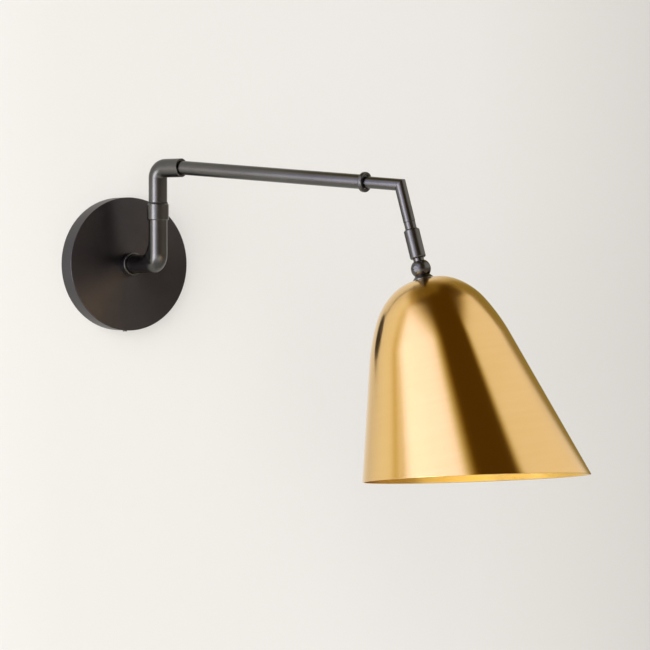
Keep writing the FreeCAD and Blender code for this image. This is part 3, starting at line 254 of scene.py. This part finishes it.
def makeBlackMetal():
    # dark bronze finish over satin metal, a little uneven in tone
    material, tree, shader = newMaterial("satinBlackMetal")
    point = objectPoint(tree)
    cloud = grain(tree, point, blackMetal["cloudPerMetre"], 4.0)
    fine = grain(tree, point, blackMetal["grainPerMetre"], 2.0)
    colour = blendColour(tree, spread(tree, cloud, 0, 1), blackMetal["dark"], blackMetal["light"])
    tree.links.new(colour, shader.inputs["Base Color"])
    tree.links.new(spread(tree, fine, *blackMetal["roughness"]), shader.inputs["Roughness"])
    shader.inputs["Metallic"].default_value = 1.0
    bump(tree, shader, fine, blackMetal["bump"])
    return material


spunBlackAndShade = {
    # dark and light are below the other black metal's: painted shade for the plate's dimmer face
    "dark": (0.082, 0.078, 0.087),
    "light": (0.098, 0.093, 0.102),
    "roughness": (0.28, 0.34),
    "anisotropic": 0.75,
    "drumRadius": 0.03,
    "ringsPerMetre": 2400,
    "stretch": (0.01, 0.01, 1),
    "bump": (0.03, 0.0001),
}


def brushRound(tree, shader, anisotropic):
    # the grain runs round the piece, so highlights are drawn out across it
    shader.inputs["Anisotropic"].default_value = anisotropic
    shader.inputs["Anisotropic Rotation"].default_value = acrossTheGrain
    tangent = addNode(tree, "ShaderNodeTangent", direction_type="UV_MAP", uv_map="aroundAndAlong")
    tree.links.new(tangent.outputs[0], shader.inputs["Tangent"])


def makeSpunBlack():
    # the same finish on the plate, which was turned: its grain runs in rings. Its colours are darker and a little
    # bluer than the other black metal's: painted shade for the plate's dimmer face
    material, tree, shader = newMaterial("spunBlackMetal")
    point = objectPoint(tree)
    cloud = grain(tree, point, blackMetal["cloudPerMetre"], 4.0)
    drum = roundPoint(tree, spunBlackAndShade["drumRadius"])
    rings = grain(tree, drum, spunBlackAndShade["ringsPerMetre"], 2.0, spunBlackAndShade["stretch"])
    colour = blendColour(tree, spread(tree, cloud, 0, 1), spunBlackAndShade["dark"], spunBlackAndShade["light"])
    tree.links.new(colour, shader.inputs["Base Color"])
    tree.links.new(spread(tree, rings, *spunBlackAndShade["roughness"]), shader.inputs["Roughness"])
    shader.inputs["Metallic"].default_value = 1.0
    brushRound(tree, shader, spunBlackAndShade["anisotropic"])
    bump(tree, shader, rings, spunBlackAndShade["bump"])
    return material


brass = {
    "pale": (0.93, 0.62, 0.27),
    "deep": (0.90, 0.585, 0.24),
    "roughness": (0.15, 0.18),
    "anisotropic": 0.85,
    "drumRadius": 0.06,
    "linesPerMetre": 5200,
    "lineStretch": (0.004, 0.004, 1),
    "bandsPerMetre": 320,
    "bandStretch": (0.03, 0.03, 1),
    "bandShare": 0.45,
    "cloudPerMetre": 22,
    "bump": (0.06, 0.0001),
}


def makeBrass():
    # spun and brushed brass under clear lacquer: fine lines run round the shade
    material, tree, shader = newMaterial("brushedBrass")
    point = roundPoint(tree, brass["drumRadius"])
    lines = grain(tree, point, brass["linesPerMetre"], 2.0, brass["lineStretch"])
    bands = grain(tree, point, brass["bandsPerMetre"], 3.0, brass["bandStretch"])
    cloud = grain(tree, point, brass["cloudPerMetre"], 3.0)
    tone = math2(tree, "ADD", math2(tree, "MULTIPLY", bands, brass["bandShare"]),
                 math2(tree, "MULTIPLY", cloud, 1 - brass["bandShare"]))
    colour = blendColour(tree, spread(tree, tone, 0, 1), brass["deep"], brass["pale"])
    tree.links.new(colour, shader.inputs["Base Color"])
    tree.links.new(spread(tree, lines, *brass["roughness"]), shader.inputs["Roughness"])
    shader.inputs["Metallic"].default_value = 1.0
    brushRound(tree, shader, brass["anisotropic"])
    bump(tree, shader, lines, brass["bump"])
    return material


innerBrassPaintedGlow = {
    # pale and deep are warmer than the outside brass: painted glow of light bouncing inside
    "pale": (0.97, 0.62, 0.16),
    "deep": (0.96, 0.57, 0.10),
    "roughness": (0.26, 0.34),
    "ringsPerMetre": 1500,
    "cloudPerMetre": 25,
    "bump": (0.1, 0.0003),
}


def makeInnerBrassPaintedGlow():
    # the shade's inside is left as spun, duller than the outside; its colours are also warmer and more orange than
    # the outside's, painted glow for the light that bounces round inside the shade
    material, tree, shader = newMaterial("spunBrassInsidePaintedGlow")
    point = roundPoint(tree, brass["drumRadius"])
    rings = grain(tree, point, innerBrassPaintedGlow["ringsPerMetre"], 2.0, brass["lineStretch"])
    cloud = grain(tree, point, innerBrassPaintedGlow["cloudPerMetre"], 3.0)
    colour = blendColour(tree, spread(tree, cloud, 0, 1), innerBrassPaintedGlow["deep"], innerBrassPaintedGlow["pale"])
    tree.links.new(colour, shader.inputs["Base Color"])
    tree.links.new(spread(tree, rings, *innerBrassPaintedGlow["roughness"]), shader.inputs["Roughness"])
    shader.inputs["Metallic"].default_value = 1.0
    bump(tree, shader, rings, innerBrassPaintedGlow["bump"])
    return material


# plainer finishes of the fittings: colour, second colour, metallic, roughness, grain in waves a metre
fittings = {
    "zinc_steel": ((0.50, 0.50, 0.48), (0.66, 0.66, 0.64), 1.0, (0.28, 0.46), 260),
    "steel": ((0.42, 0.42, 0.42), (0.55, 0.55, 0.55), 1.0, (0.2, 0.34), 900),
    "brass_fitting": ((0.66, 0.46, 0.18), (0.82, 0.60, 0.28), 1.0, (0.2, 0.36), 700),
    "nylon": ((0.74, 0.73, 0.68), (0.84, 0.83, 0.79), 0.0, (0.42, 0.55), 500),
    "phenolic": ((0.022, 0.020, 0.018), (0.040, 0.036, 0.032), 0.0, (0.30, 0.44), 700),
    "nickel": ((0.62, 0.60, 0.57), (0.76, 0.74, 0.70), 1.0, (0.16, 0.28), 500),
    "glass_black": ((0.012, 0.012, 0.014), (0.02, 0.02, 0.024), 0.0, (0.08, 0.16), 300),
    "ceramic": ((0.78, 0.62, 0.20), (0.86, 0.72, 0.30), 0.0, (0.5, 0.62), 900),
    "cable_black": ((0.020, 0.020, 0.020), (0.034, 0.034, 0.033), 0.0, (0.42, 0.56), 1200),
    "core_white": ((0.74, 0.73, 0.70), (0.83, 0.82, 0.79), 0.0, (0.38, 0.5), 1200),
    "core_green": ((0.04, 0.22, 0.05), (0.06, 0.30, 0.08), 0.0, (0.38, 0.5), 1200),
    "connector": ((0.62, 0.27, 0.03), (0.72, 0.34, 0.05), 0.0, (0.34, 0.46), 600),
    "fibre": ((0.16, 0.05, 0.025), (0.26, 0.09, 0.045), 0.0, (0.6, 0.8), 1500),
}
fittingBump = (0.08, 0.0002)
fittingCloud = 0.25  # a fitting's clouds and fine grain, as shares of its waves a metre
fittingFine = 3
# the leads' sheaths shine less than the other fittings, and so does the dark ring at the collar's top, whose
# dullness is painted shade
usualShine = 0.5
dullShineAndGapShade = {"cable_black": 0.15}


def makeFitting(slot):
    first, second, metallic, roughness, waves = fittings[slot]
    material, tree, shader = newMaterial(slot + "Finish")
    point = objectPoint(tree)
    cloud = grain(tree, point, waves * fittingCloud, 3.0)
    fine = grain(tree, point, waves * fittingFine, 2.0)
    tree.links.new(blendColour(tree, spread(tree, cloud, 0, 1), first, second), shader.inputs["Base Color"])
    tree.links.new(spread(tree, fine, *roughness), shader.inputs["Roughness"])
    shader.inputs["Metallic"].default_value = metallic
    shader.inputs["Specular IOR Level"].default_value = dullShineAndGapShade.get(slot, usualShine)
    bump(tree, shader, fine, fittingBump)
    return material


frosted = {
    "dark": (0.86, 0.85, 0.82),
    "light": (0.93, 0.92, 0.90),
    "roughness": (0.22, 0.34),
    "grainPerMetre": 1800,
    "through": 0.25,
    "ior": 1.5,
    "bump": (0.05, 0.0002),
}


def makeFrostedGlass():
    # thin white-frosted glass of the bulb
    material, tree, shader = newMaterial("frostedGlass")
    fine = grain(tree, objectPoint(tree), frosted["grainPerMetre"], 3.0)
    colour = blendColour(tree, spread(tree, fine, 0, 1), frosted["dark"], frosted["light"])
    tree.links.new(colour, shader.inputs["Base Color"])
    tree.links.new(spread(tree, fine, *frosted["roughness"]), shader.inputs["Roughness"])
    shader.inputs["Transmission Weight"].default_value = frosted["through"]
    shader.inputs["IOR"].default_value = frosted["ior"]
    bump(tree, shader, fine, frosted["bump"])
    return material


satinBlack = makeBlackMetal()
spunPlate = makeSpunBlack()
brushedBrass = makeBrass()
spunInsidePaintedGlow = makeInnerBrassPaintedGlow()
frostedGlass = makeFrostedGlass()
finishes = {slot: makeFitting(slot) for slot in fittings}
finishes.update(black_metal=satinBlack, brass=brushedBrass, glass_white=frostedGlass)
for part in frame["record"]["subparts"]:
    cadNodes[part["node"]].data.materials.clear()
    cadNodes[part["node"]].data.materials.append(finishes[part["material_slot"]])
print("materials made:", len(bpy.data.materials))


# wall plate: a shallow dish with a softly rounded front edge
plate = {"radius": 60.0, "depth": 18.0, "rimWall": 1.5, "faceWall": 2.0, "edge": 0.7, "hole": 5.02}


def makePlate():
    inner = plate["radius"] - plate["rimWall"]
    back = plate["depth"] - plate["faceWall"]
    outline = [(plate["hole"], back), (inner, back), (inner, 0), (plate["radius"], 0),
               (plate["radius"], plate["depth"]), (plate["hole"], plate["depth"])]
    mesh = turnedMesh("wallPlate", rounded(outline, plate["edge"], 4), wallPlace, sides=192)
    addPiece("wallPlate", mesh, "wall_assembly", "black_metal", [spunPlate], "backplate")


# ring that hides the joint of the stem and the plate
baseRing = {"bore": 8.27, "radius": 10.3, "height": 8.0, "round": 0.8}


def makeBaseRing():
    top = plate["depth"] + baseRing["height"]
    outline = [(baseRing["bore"], plate["depth"]), (baseRing["radius"], plate["depth"]),
               (baseRing["radius"], top), (baseRing["bore"], top)]
    mesh = turnedMesh("baseRing", rounded(outline, baseRing["round"], 4), wallPlace)
    addPiece("baseRing", mesh, "wall_assembly", "black_metal", [satinBlack], "stem_base_ring")


# drop tube: its upper end is cut on the plane that halves the corner
drop = {"radius": 5.0, "bore": 4.0, "neck": 32.1, "edge": 0.2}


def makeDropTube():
    slope = math.tan(tubeWay.angle(dropWay) / 2)
    outline = [(drop["bore"], 0), (drop["radius"], 0), (drop["radius"], drop["neck"] - drop["edge"]),
               (drop["radius"] - drop["edge"], drop["neck"]), (drop["bore"], drop["neck"])]

    def onTheCut(radius, distance, angle):
        # the upper end's points, at no distance, move onto the slanted cut
        if distance > 0:
            return distance
        return -radius * math.cos(angle) * slope

    mesh = turnedMesh("dropTube", outline, dropPlace, move=onTheCut)
    addPiece("dropTube", mesh, "slide_arm", "black_metal", [satinBlack], "drop_tube")


# thin dark ring where the upper pipe enters the swivel's collar: painted shade, standing in for the shadow in the
# gap there
collarGapShadeRing = {"bore": 8.15, "radius": 8.75, "height": 1.15, "round": 0.15}


def makeCollarGapShadeRing():
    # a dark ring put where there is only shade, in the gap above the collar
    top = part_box("swivel_collar")[1][2]
    place = Matrix.Translation((stemFoot.x, stemFoot.y, top))
    outline = [(collarGapShadeRing["bore"], 0), (collarGapShadeRing["radius"], 0),
               (collarGapShadeRing["radius"], collarGapShadeRing["height"]), (collarGapShadeRing["bore"], collarGapShadeRing["height"])]
    mesh = turnedMesh("collarGapShadeRing", rounded(outline, collarGapShadeRing["round"]), place)
    addPiece("collarGapShadeRing", mesh, "wall_assembly", "cable_black", [finishes["cable_black"]])


makePlate()
makeBaseRing()
makeCollarGapShadeRing()
makeDropTube()
print("arm made")


# shade: three arcs and a straight flare, spun, then cut on a slant
shade = {
    "tilt": 15.75, "turn": -22.3, "hole": 5.02, "top": 9.38, "flat": 6.74, "wall": 1.0,
    "arcs": ((37.03, 34.5), (57.3, 61.4), (165.6, 73.69)), "flare": 16.31,
    "mouth": 177.5, "slant": 11.08, "rim": 0.5,
    "sides": 288, "arcSteps": 14, "flareSteps": 12, "rimSteps": 6,
}
shadeWay = leaning(shade["tilt"])
ballPlace = placeAlong(ballPoint, armWay, shadeWay)
shadePlace = ballPlace @ Matrix.Rotation(math.radians(shade["turn"]), 4, "Z")


def shadeLine(inset):
    # from the crown to the end of the last arc, inset into the wall
    x = shade["flat"]
    y = shade["top"]
    first = 0
    points = [(shade["hole"], y + inset), (x, y + inset)]
    steps = shade["arcSteps"]
    for radius, last in shade["arcs"]:
        for step in range(1, steps + 1):
            angle = math.radians(first + (last - first) * step / steps)
            start = math.radians(first)
            px = x + radius * (math.sin(angle) - math.sin(start))
            py = y + radius * (math.cos(start) - math.cos(angle))
            points.append((px - inset * math.sin(angle), py + inset * math.cos(angle)))
        x, y, first = px, py, last
    return points


def shadeSection(outer, inner, angle):
    # the wall's outline on one side, from the crown outside to the crown inside
    flareSlope = math.tan(math.radians(shade["flare"]))
    lean = math.tan(math.radians(shade["slant"])) * math.cos(angle)
    rim, rimSteps, steps = shade["rim"], shade["rimSteps"], shade["flareSteps"]
    along = Vector((flareSlope, 1)).normalized()

    def end(line):
        # where the straight flare meets the slanted mouth
        x, y = line[-1]
        bottom = (shade["mouth"] + lean * (x - y * flareSlope)) / (1 - lean * flareSlope)
        return Vector((x + (bottom - y) * flareSlope, bottom))

    outerEnd, innerEnd = end(outer), end(inner)
    outerLast, innerLast = Vector(outer[-1]), Vector(inner[-1])
    section = [Vector(point) for point in outer]
    for step in range(1, steps + 1):
        section.append(outerLast.lerp(outerEnd - along * rim, step / steps))
    for step in range(1, rimSteps):
        half = math.pi * step / rimSteps
        across = outerEnd.lerp(innerEnd, (1 - math.cos(half)) / 2)
        section.append(across - along * rim * (1 - math.sin(half)))
    for step in range(steps):
        section.append(innerLast.lerp(innerEnd - along * rim, 1 - step / steps))
    return section + [Vector(point) for point in reversed(inner)]


def makeShade():
    outer = shadeLine(0)
    inner = shadeLine(shade["wall"])
    sides = shade["sides"]
    points = []
    runs = []
    for side in range(sides):
        angle = 2 * math.pi * side / sides
        section = shadeSection(outer, inner, angle)
        run = [0]
        for before, spot in zip(section, section[1:]):
            run.append(run[-1] + (spot - before).length)
        runs.append(run)
        for spot in section:
            flat = Vector((spot.x * math.cos(angle), spot.x * math.sin(angle), spot.y)) * mm
            points.append(shadePlace @ flat)
    count = len(run)
    mesh = ringMesh("brassShade", points, sides, lambda side, i: runs[side % sides][i % count])
    firstInside = len(outer) + shade["flareSteps"] + shade["rimSteps"] - 1
    for number, face in enumerate(mesh.polygons):
        face.material_index = 1 if number % count >= firstInside else 0
    addPiece("brassShade", mesh, "shade_head", "brass", [brushedBrass, spunInsidePaintedGlow], "shade")


makeShade()
print("shade made")


# dim light is warm here: brightness, and the colour that it has
warmth = (
    (0.0, (0.0, 0.0, 0.0)), (0.065, (0.065, 0.033, 0.001)), (0.11, (0.11, 0.058, 0.002)),
    (0.16, (0.16, 0.096, 0.009)), (0.23, (0.23, 0.165, 0.037)), (0.31, (0.31, 0.247, 0.085)),
    (0.43, (0.43, 0.357, 0.16)), (0.54, (0.54, 0.475, 0.27)), (0.66, (0.66, 0.59, 0.37)),
    (0.78, (0.78, 0.75, 0.64)), (0.88, (0.88, 0.85, 0.80)), (1.04, (1.04, 1.05, 1.22)),
    (1.30, (1.30, 1.29, 1.85)), (1.6, (1.6, 1.6, 2.0)),
)


brightest = 2.0  # the ramp holds the colours as shares of this


def warmLight(tree, level):
    top = warmth[-1][0]
    ramp = addNode(tree, "ShaderNodeValToRGB", {0: math2(tree, "MULTIPLY", level, 1 / top)})
    setStops(ramp, [(place / top, tuple(part / brightest for part in colour)) for place, colour in warmth])
    return vectorMath(tree, "SCALE", {0: ramp.outputs[0], "Scale": brightest})


def setStops(ramp, stops):
    elements = ramp.color_ramp.elements
    while len(elements) < len(stops):
        elements.new(1.0)
    for element, (place, colour) in zip(elements, stops):
        element.position = place
        element.color = (*colour, 1)


# the wall behind the lamp, and a pale floor far below; both let a view from behind pass
room = {
    "wallLeft": -3.0, "wallRight": 3.0, "floor": -1.3, "top": 3.2, "front": -1.9,
    "evenPart": 0.6, "floorColour": (0.72, 0.71, 0.69), "floorDarker": 0.97, "floorWaves": 1.5,
}
# the wall's colour from left to right, in metres: painted light falloff, darker to the right where less light
# falls
wallPaintedFalloff = (
    (-0.60, (0.955, 0.935, 0.895)), (-0.15, (0.95, 0.925, 0.885)), (-0.06, (0.905, 0.88, 0.835)),
    (0.10, (0.88, 0.853, 0.813)), (0.25, (0.862, 0.836, 0.80)), (0.40, (0.835, 0.808, 0.772)),
    (0.51, (0.78, 0.755, 0.715)), (0.58, (0.74, 0.711, 0.675)), (0.65, (0.70, 0.67, 0.635)),
    (1.1, (0.62, 0.59, 0.56)),
)
# the wall as metal shows it: across in metres and its colour there, and then how much of that is left
# at a height, which is a share of the distance from the lamp
wallShine = (
    (-0.62, (1.02, 1.0, 0.98)), (-0.55, (0.80, 0.73, 0.48)), (-0.48, (0.60, 0.50, 0.22)),
    (-0.42, (0.70, 0.61, 0.33)), (-0.34, (0.88, 0.84, 0.70)), (-0.20, (0.88, 0.865, 0.78)),
    (-0.10, (0.82, 0.80, 0.735)), (0.02, (0.71, 0.68, 0.62)), (0.13, (0.79, 0.78, 0.73)),
    (0.30, (0.82, 0.81, 0.78)), (0.44, (0.60, 0.53, 0.32)), (0.56, (0.27, 0.21, 0.06)),
    (3.0, (0.25, 0.19, 0.05)),
)
shineHigh = (
    (1.08, (1.0, 1.0, 1.0)), (1.3, (0.80, 0.75, 0.60)), (1.55, (0.49, 0.40, 0.18)),
    (1.9, (0.31, 0.23, 0.06)), (2.4, (0.22, 0.155, 0.033)), (6.0, (0.21, 0.14, 0.03)),
)
# where it ends: at its left, below this place in the table, and at its right, on a line that leans
shineEnd = {"left": 0.0001, "rise": 1.42, "from": 0.95, "to": 1.2}
shineCentre = (0.1, -0.27, 0.0)


def makePlane(name, corners, material):
    mesh = bpy.data.meshes.new(name)
    mesh.from_pydata(corners, [], [(0, 1, 2, 3)])
    plane = bpy.data.objects.new(name, mesh)
    bpy.context.scene.collection.objects.link(plane)
    mesh.materials.append(material)


def makeBackdrop(name, colourFrom, shineFrom=None):
    # seen from its back it isn't there
    material = bpy.data.materials.new(name)
    material.use_nodes = True
    tree = material.node_tree
    tree.nodes.clear()
    clear = addNode(tree, "ShaderNodeBsdfTransparent").outputs[0]
    tone = colourFrom(tree)
    surface = addNode(tree, "ShaderNodeBsdfDiffuse", {"Color": tone}).outputs[0]
    rays = addNode(tree, "ShaderNodeLightPath").outputs
    if shineFrom:
        # part of the wall's light is even, as in a wide pale studio, and the rest keeps the shadows
        even = addNode(tree, "ShaderNodeEmission", {"Color": tone}).outputs[0]
        part = math2(tree, "MULTIPLY", rays["Is Camera Ray"], room["evenPart"])
        surface = mixShader(tree, part, surface, even)
        colour, clearPart = shineFrom(tree)
        shine = addNode(tree, "ShaderNodeEmission", {"Color": colour}).outputs[0]
        shine = mixShader(tree, clearPart, shine, clear)
        surface = mixShader(tree, rays["Is Glossy Ray"], surface, shine)
    back = addNode(tree, "ShaderNodeNewGeometry").outputs["Backfacing"]
    mix = mixShader(tree, back, surface, clear)
    output = addNode(tree, "ShaderNodeOutputMaterial")
    tree.links.new(mix, output.inputs["Surface"])
    return material


def stopsAlong(tree, value, stops):
    # a colour for each value, from a table of them, and the value's place in the table from 0 to 1
    first, last = stops[0][0], stops[-1][0]
    ends = {"From Min": first, "From Max": last}
    place = addNode(tree, "ShaderNodeMapRange", {"Value": value, **ends}).outputs["Result"]
    ramp = addNode(tree, "ShaderNodeValToRGB", {0: place})
    setStops(ramp, [((stop - first) / (last - first), colour) for stop, colour in stops])
    return ramp.outputs[0], place


def smoothly(tree, value, ends):
    return addNode(tree, "ShaderNodeMapRange", {"Value": value, **ends},
                   interpolation_type="SMOOTHSTEP").outputs["Result"]


def wallColourPaintedFalloff(tree):
    # painted light falloff: the wall's colour grows darker to the right
    across = addNode(tree, "ShaderNodeSeparateXYZ", {0: objectPoint(tree)}).outputs[0]
    return stopsAlong(tree, across, wallPaintedFalloff)[0]


def wallGlow(tree):
    # what metal shows of the wall; past its left end, and past a slanted line at its right, the panels show
    parts = addNode(tree, "ShaderNodeSeparateXYZ", {0: objectPoint(tree)}).outputs
    colour, place = stopsAlong(tree, parts[0], wallShine)
    across = addNode(tree, "ShaderNodeCombineXYZ", {0: parts[0]}).outputs[0]
    away = vectorMath(tree, "DISTANCE", {0: across, 1: shineCentre}, "Value")
    fade = stopsAlong(tree, math2(tree, "DIVIDE", parts[2], away), shineHigh)[0]
    slanted = math2(tree, "SUBTRACT", parts[0], math2(tree, "MULTIPLY", parts[2], shineEnd["rise"]))
    right = smoothly(tree, slanted, {"From Min": shineEnd["from"], "From Max": shineEnd["to"]})
    beyond = math2(tree, "MAXIMUM", math2(tree, "LESS_THAN", place, shineEnd["left"]), right)
    return vectorMath(tree, "MULTIPLY", {0: colour, 1: fade}), beyond


def floorColour(tree):
    cloud = grain(tree, objectPoint(tree), room["floorWaves"], 2.0)
    darker = tuple(part * room["floorDarker"] for part in room["floorColour"])
    return blendColour(tree, spread(tree, cloud, 0, 1), darker, room["floorColour"])


def makeRoom():
    left, right = room["wallLeft"], room["wallRight"]
    low, high = room["floor"], room["top"]
    wall = [(left, 0, low), (right, 0, low), (right, 0, high), (left, 0, high)]
    floor = [(left, room["front"], low), (right, room["front"], low), (right, 0, low), (left, 0, low)]
    # the wall's colour holds painted light falloff, darker to the right
    makePlane("wall", wall, makeBackdrop("wallPaintAndPaintedFalloff", wallColourPaintedFalloff, wallGlow))
    makePlane("floor", floor, makeBackdrop("paleFloor", floorColour))


makeRoom()


# camera: the place and the lens that fit the photograph's outlines
camera = {
    "place": (-1.1684, -2.0568, 0.0), "heading": 34.11, "pitch": -1.344,
    "lens": 144.0, "sensor": 36.0, "farthest": 60,
}


def makeCamera():
    data = bpy.data.cameras.new("photoCamera")
    data.lens = camera["lens"]
    data.sensor_width = camera["sensor"]
    data.clip_end = camera["farthest"]
    seen = bpy.data.objects.new("photoCamera", data)
    bpy.context.scene.collection.objects.link(seen)
    seen.location = camera["place"]
    seen.rotation_euler = (math.radians(90 + camera["pitch"]), 0, -math.radians(camera["heading"]))
    bpy.context.scene.camera = seen


makeCamera()


# light: bright panels at the left and right of a dim room, one low in front, and two dim ones all round.
# They are placed by their turn from the camera's side of the lamp, positive to its right, and by their
# height, both in degrees. One that has a middle is flat, and its height is the one there. A warm panel's
# dim edges are tinted, and so is the dim ceiling.
panels = [
    {"tone": "warm", "turn": (-75, -26.5), "turnSoft": (20, 28), "height": (-30, 43), "heightSoft": (15, 24),
     "middle": -55, "level": 1.27},
    {"tone": "warm", "turn": (60, 178), "turnSoft": (14, 2), "height": (16, 55), "heightSoft": (12, 11),
     "middle": 82, "level": 0.80},
    {"tone": "plain", "turn": (-63, -42), "turnSoft": (5, 11), "height": (-24, 4), "heightSoft": (8, 10),
     "middle": -55, "level": 5.2},
    {"tone": "plain", "turn": (48, 108), "turnSoft": (12, 24), "height": (-28, 18), "heightSoft": (10, 14),
     "middle": 76, "level": 0.20},
    {"tone": "plain", "turn": (-24, 50), "turnSoft": (20, 14), "height": (-62, -13), "heightSoft": (12, 6),
     "middle": None, "level": 1.05},
    {"tone": "plain", "turn": (-180, 180), "turnSoft": (1, 1), "height": (-90, 4), "heightSoft": (1, 24),
     "middle": None, "level": 0.05},
    {"tone": "plain", "turn": (-180, 180), "turnSoft": (1, 1), "height": (-90, -30), "heightSoft": (1, 18),
     "middle": None, "level": 0.45},
]
dimLevel = 0.075
plainTint = (1.0, 0.975, 0.96)
diffuseLevel = (0.20, 0.198, 0.194)
paleRoom = (0.86, 0.85, 0.83)


def band(tree, value, ends, soft):
    # 1 between the two ends, and softly down to 0 past each of them
    rise = smoothly(tree, value, {"From Min": ends[0] - soft[0], "From Max": ends[0]})
    fall = smoothly(tree, value, {"From Min": ends[1], "From Max": ends[1] + soft[1],
                                  "To Min": 1.0, "To Max": 0.0})
    return math2(tree, "MULTIPLY", rise, fall)


def alongWay(tree, way, direction):
    return vectorMath(tree, "DOT_PRODUCT", {0: way, 1: direction}, "Value")


def makeWorld():
    world = bpy.data.worlds.new("studio")
    bpy.context.scene.world = world
    world.use_nodes = True
    tree = world.node_tree
    tree.nodes.clear()
    heading = math.radians(camera["heading"])
    way = addNode(tree, "ShaderNodeTexCoord").outputs["Generated"]
    toCamera = Vector((-math.sin(heading), -math.cos(heading), 0))
    toRight = Vector((math.cos(heading), -math.sin(heading), 0))
    turn = math2(tree, "ARCTAN2", alongWay(tree, way, toRight), alongWay(tree, way, toCamera))
    turn = math2(tree, "MULTIPLY", turn, 180 / math.pi)
    rise = addNode(tree, "ShaderNodeSeparateXYZ", {0: way}).outputs[2]
    sums = {"warm": dimLevel, "plain": 0.0}
    for panel in panels:
        if panel["middle"] is None:
            height = math2(tree, "ARCSINE", rise)
        else:
            middle = math.radians(panel["middle"])
            facing = toCamera * math.cos(middle) + toRight * math.sin(middle)
            height = math2(tree, "ARCTAN2", rise, alongWay(tree, way, facing))
        height = math2(tree, "MULTIPLY", height, 180 / math.pi)
        mask = math2(tree, "MULTIPLY", band(tree, turn, panel["turn"], panel["turnSoft"]),
                     band(tree, height, panel["height"], panel["heightSoft"]))
        level = math2(tree, "MULTIPLY", mask, panel["level"])
        sums[panel["tone"]] = math2(tree, "ADD", level, sums[panel["tone"]])
    warm = warmLight(tree, sums["warm"])
    plain = vectorMath(tree, "SCALE", {0: plainTint, "Scale": sums["plain"]})
    light = vectorMath(tree, "ADD", {0: warm, 1: plain})
    # metal and glass show the panels; everything else gets a plain, even light
    rays = addNode(tree, "ShaderNodeLightPath").outputs
    shown = math2(tree, "MAXIMUM", rays["Is Glossy Ray"], rays["Is Transmission Ray"])
    even = addNode(tree, "ShaderNodeBackground", {"Color": (*diffuseLevel, 1)}).outputs[0]
    studio = addNode(tree, "ShaderNodeBackground", {"Color": light}).outputs[0]
    pale = addNode(tree, "ShaderNodeBackground", {"Color": (*paleRoom, 1)}).outputs[0]
    mix = mixShader(tree, shown, even, studio)
    mix = mixShader(tree, rays["Is Camera Ray"], mix, pale)
    output = addNode(tree, "ShaderNodeOutputWorld")
    tree.links.new(mix, output.inputs["Surface"])


# soft lamps for the wall and the plastics; metal shows the panels instead. The turn is from straight
# in front of the wall, positive to its left, and both angles are in degrees
softLamps = [
    {"name": "keyLamp", "turn": 60, "height": 18, "spread": 60, "strength": 2.2},
    {"name": "fillLamp", "turn": 34, "height": 4, "spread": 50, "strength": 1.5},
]
lampsAway = 3


def makeLamps():
    for lamp in softLamps:
        data = bpy.data.lights.new(lamp["name"], "SUN")
        data.angle = math.radians(lamp["spread"])
        data.energy = lamp["strength"]
        shining = bpy.data.objects.new(lamp["name"], data)
        bpy.context.scene.collection.objects.link(shining)
        turn, height = math.radians(lamp["turn"]), math.radians(lamp["height"])
        level = math.cos(height)
        way = Vector((-math.sin(turn) * level, -math.cos(turn) * level, math.sin(height)))
        shining.rotation_euler = way.to_track_quat("Z", "Y").to_euler()
        shining.location = way * lampsAway
        shining.visible_glossy = False


makeWorld()
makeLamps()
bpy.context.scene.view_settings.view_transform = "Standard"
print("camera and light set")
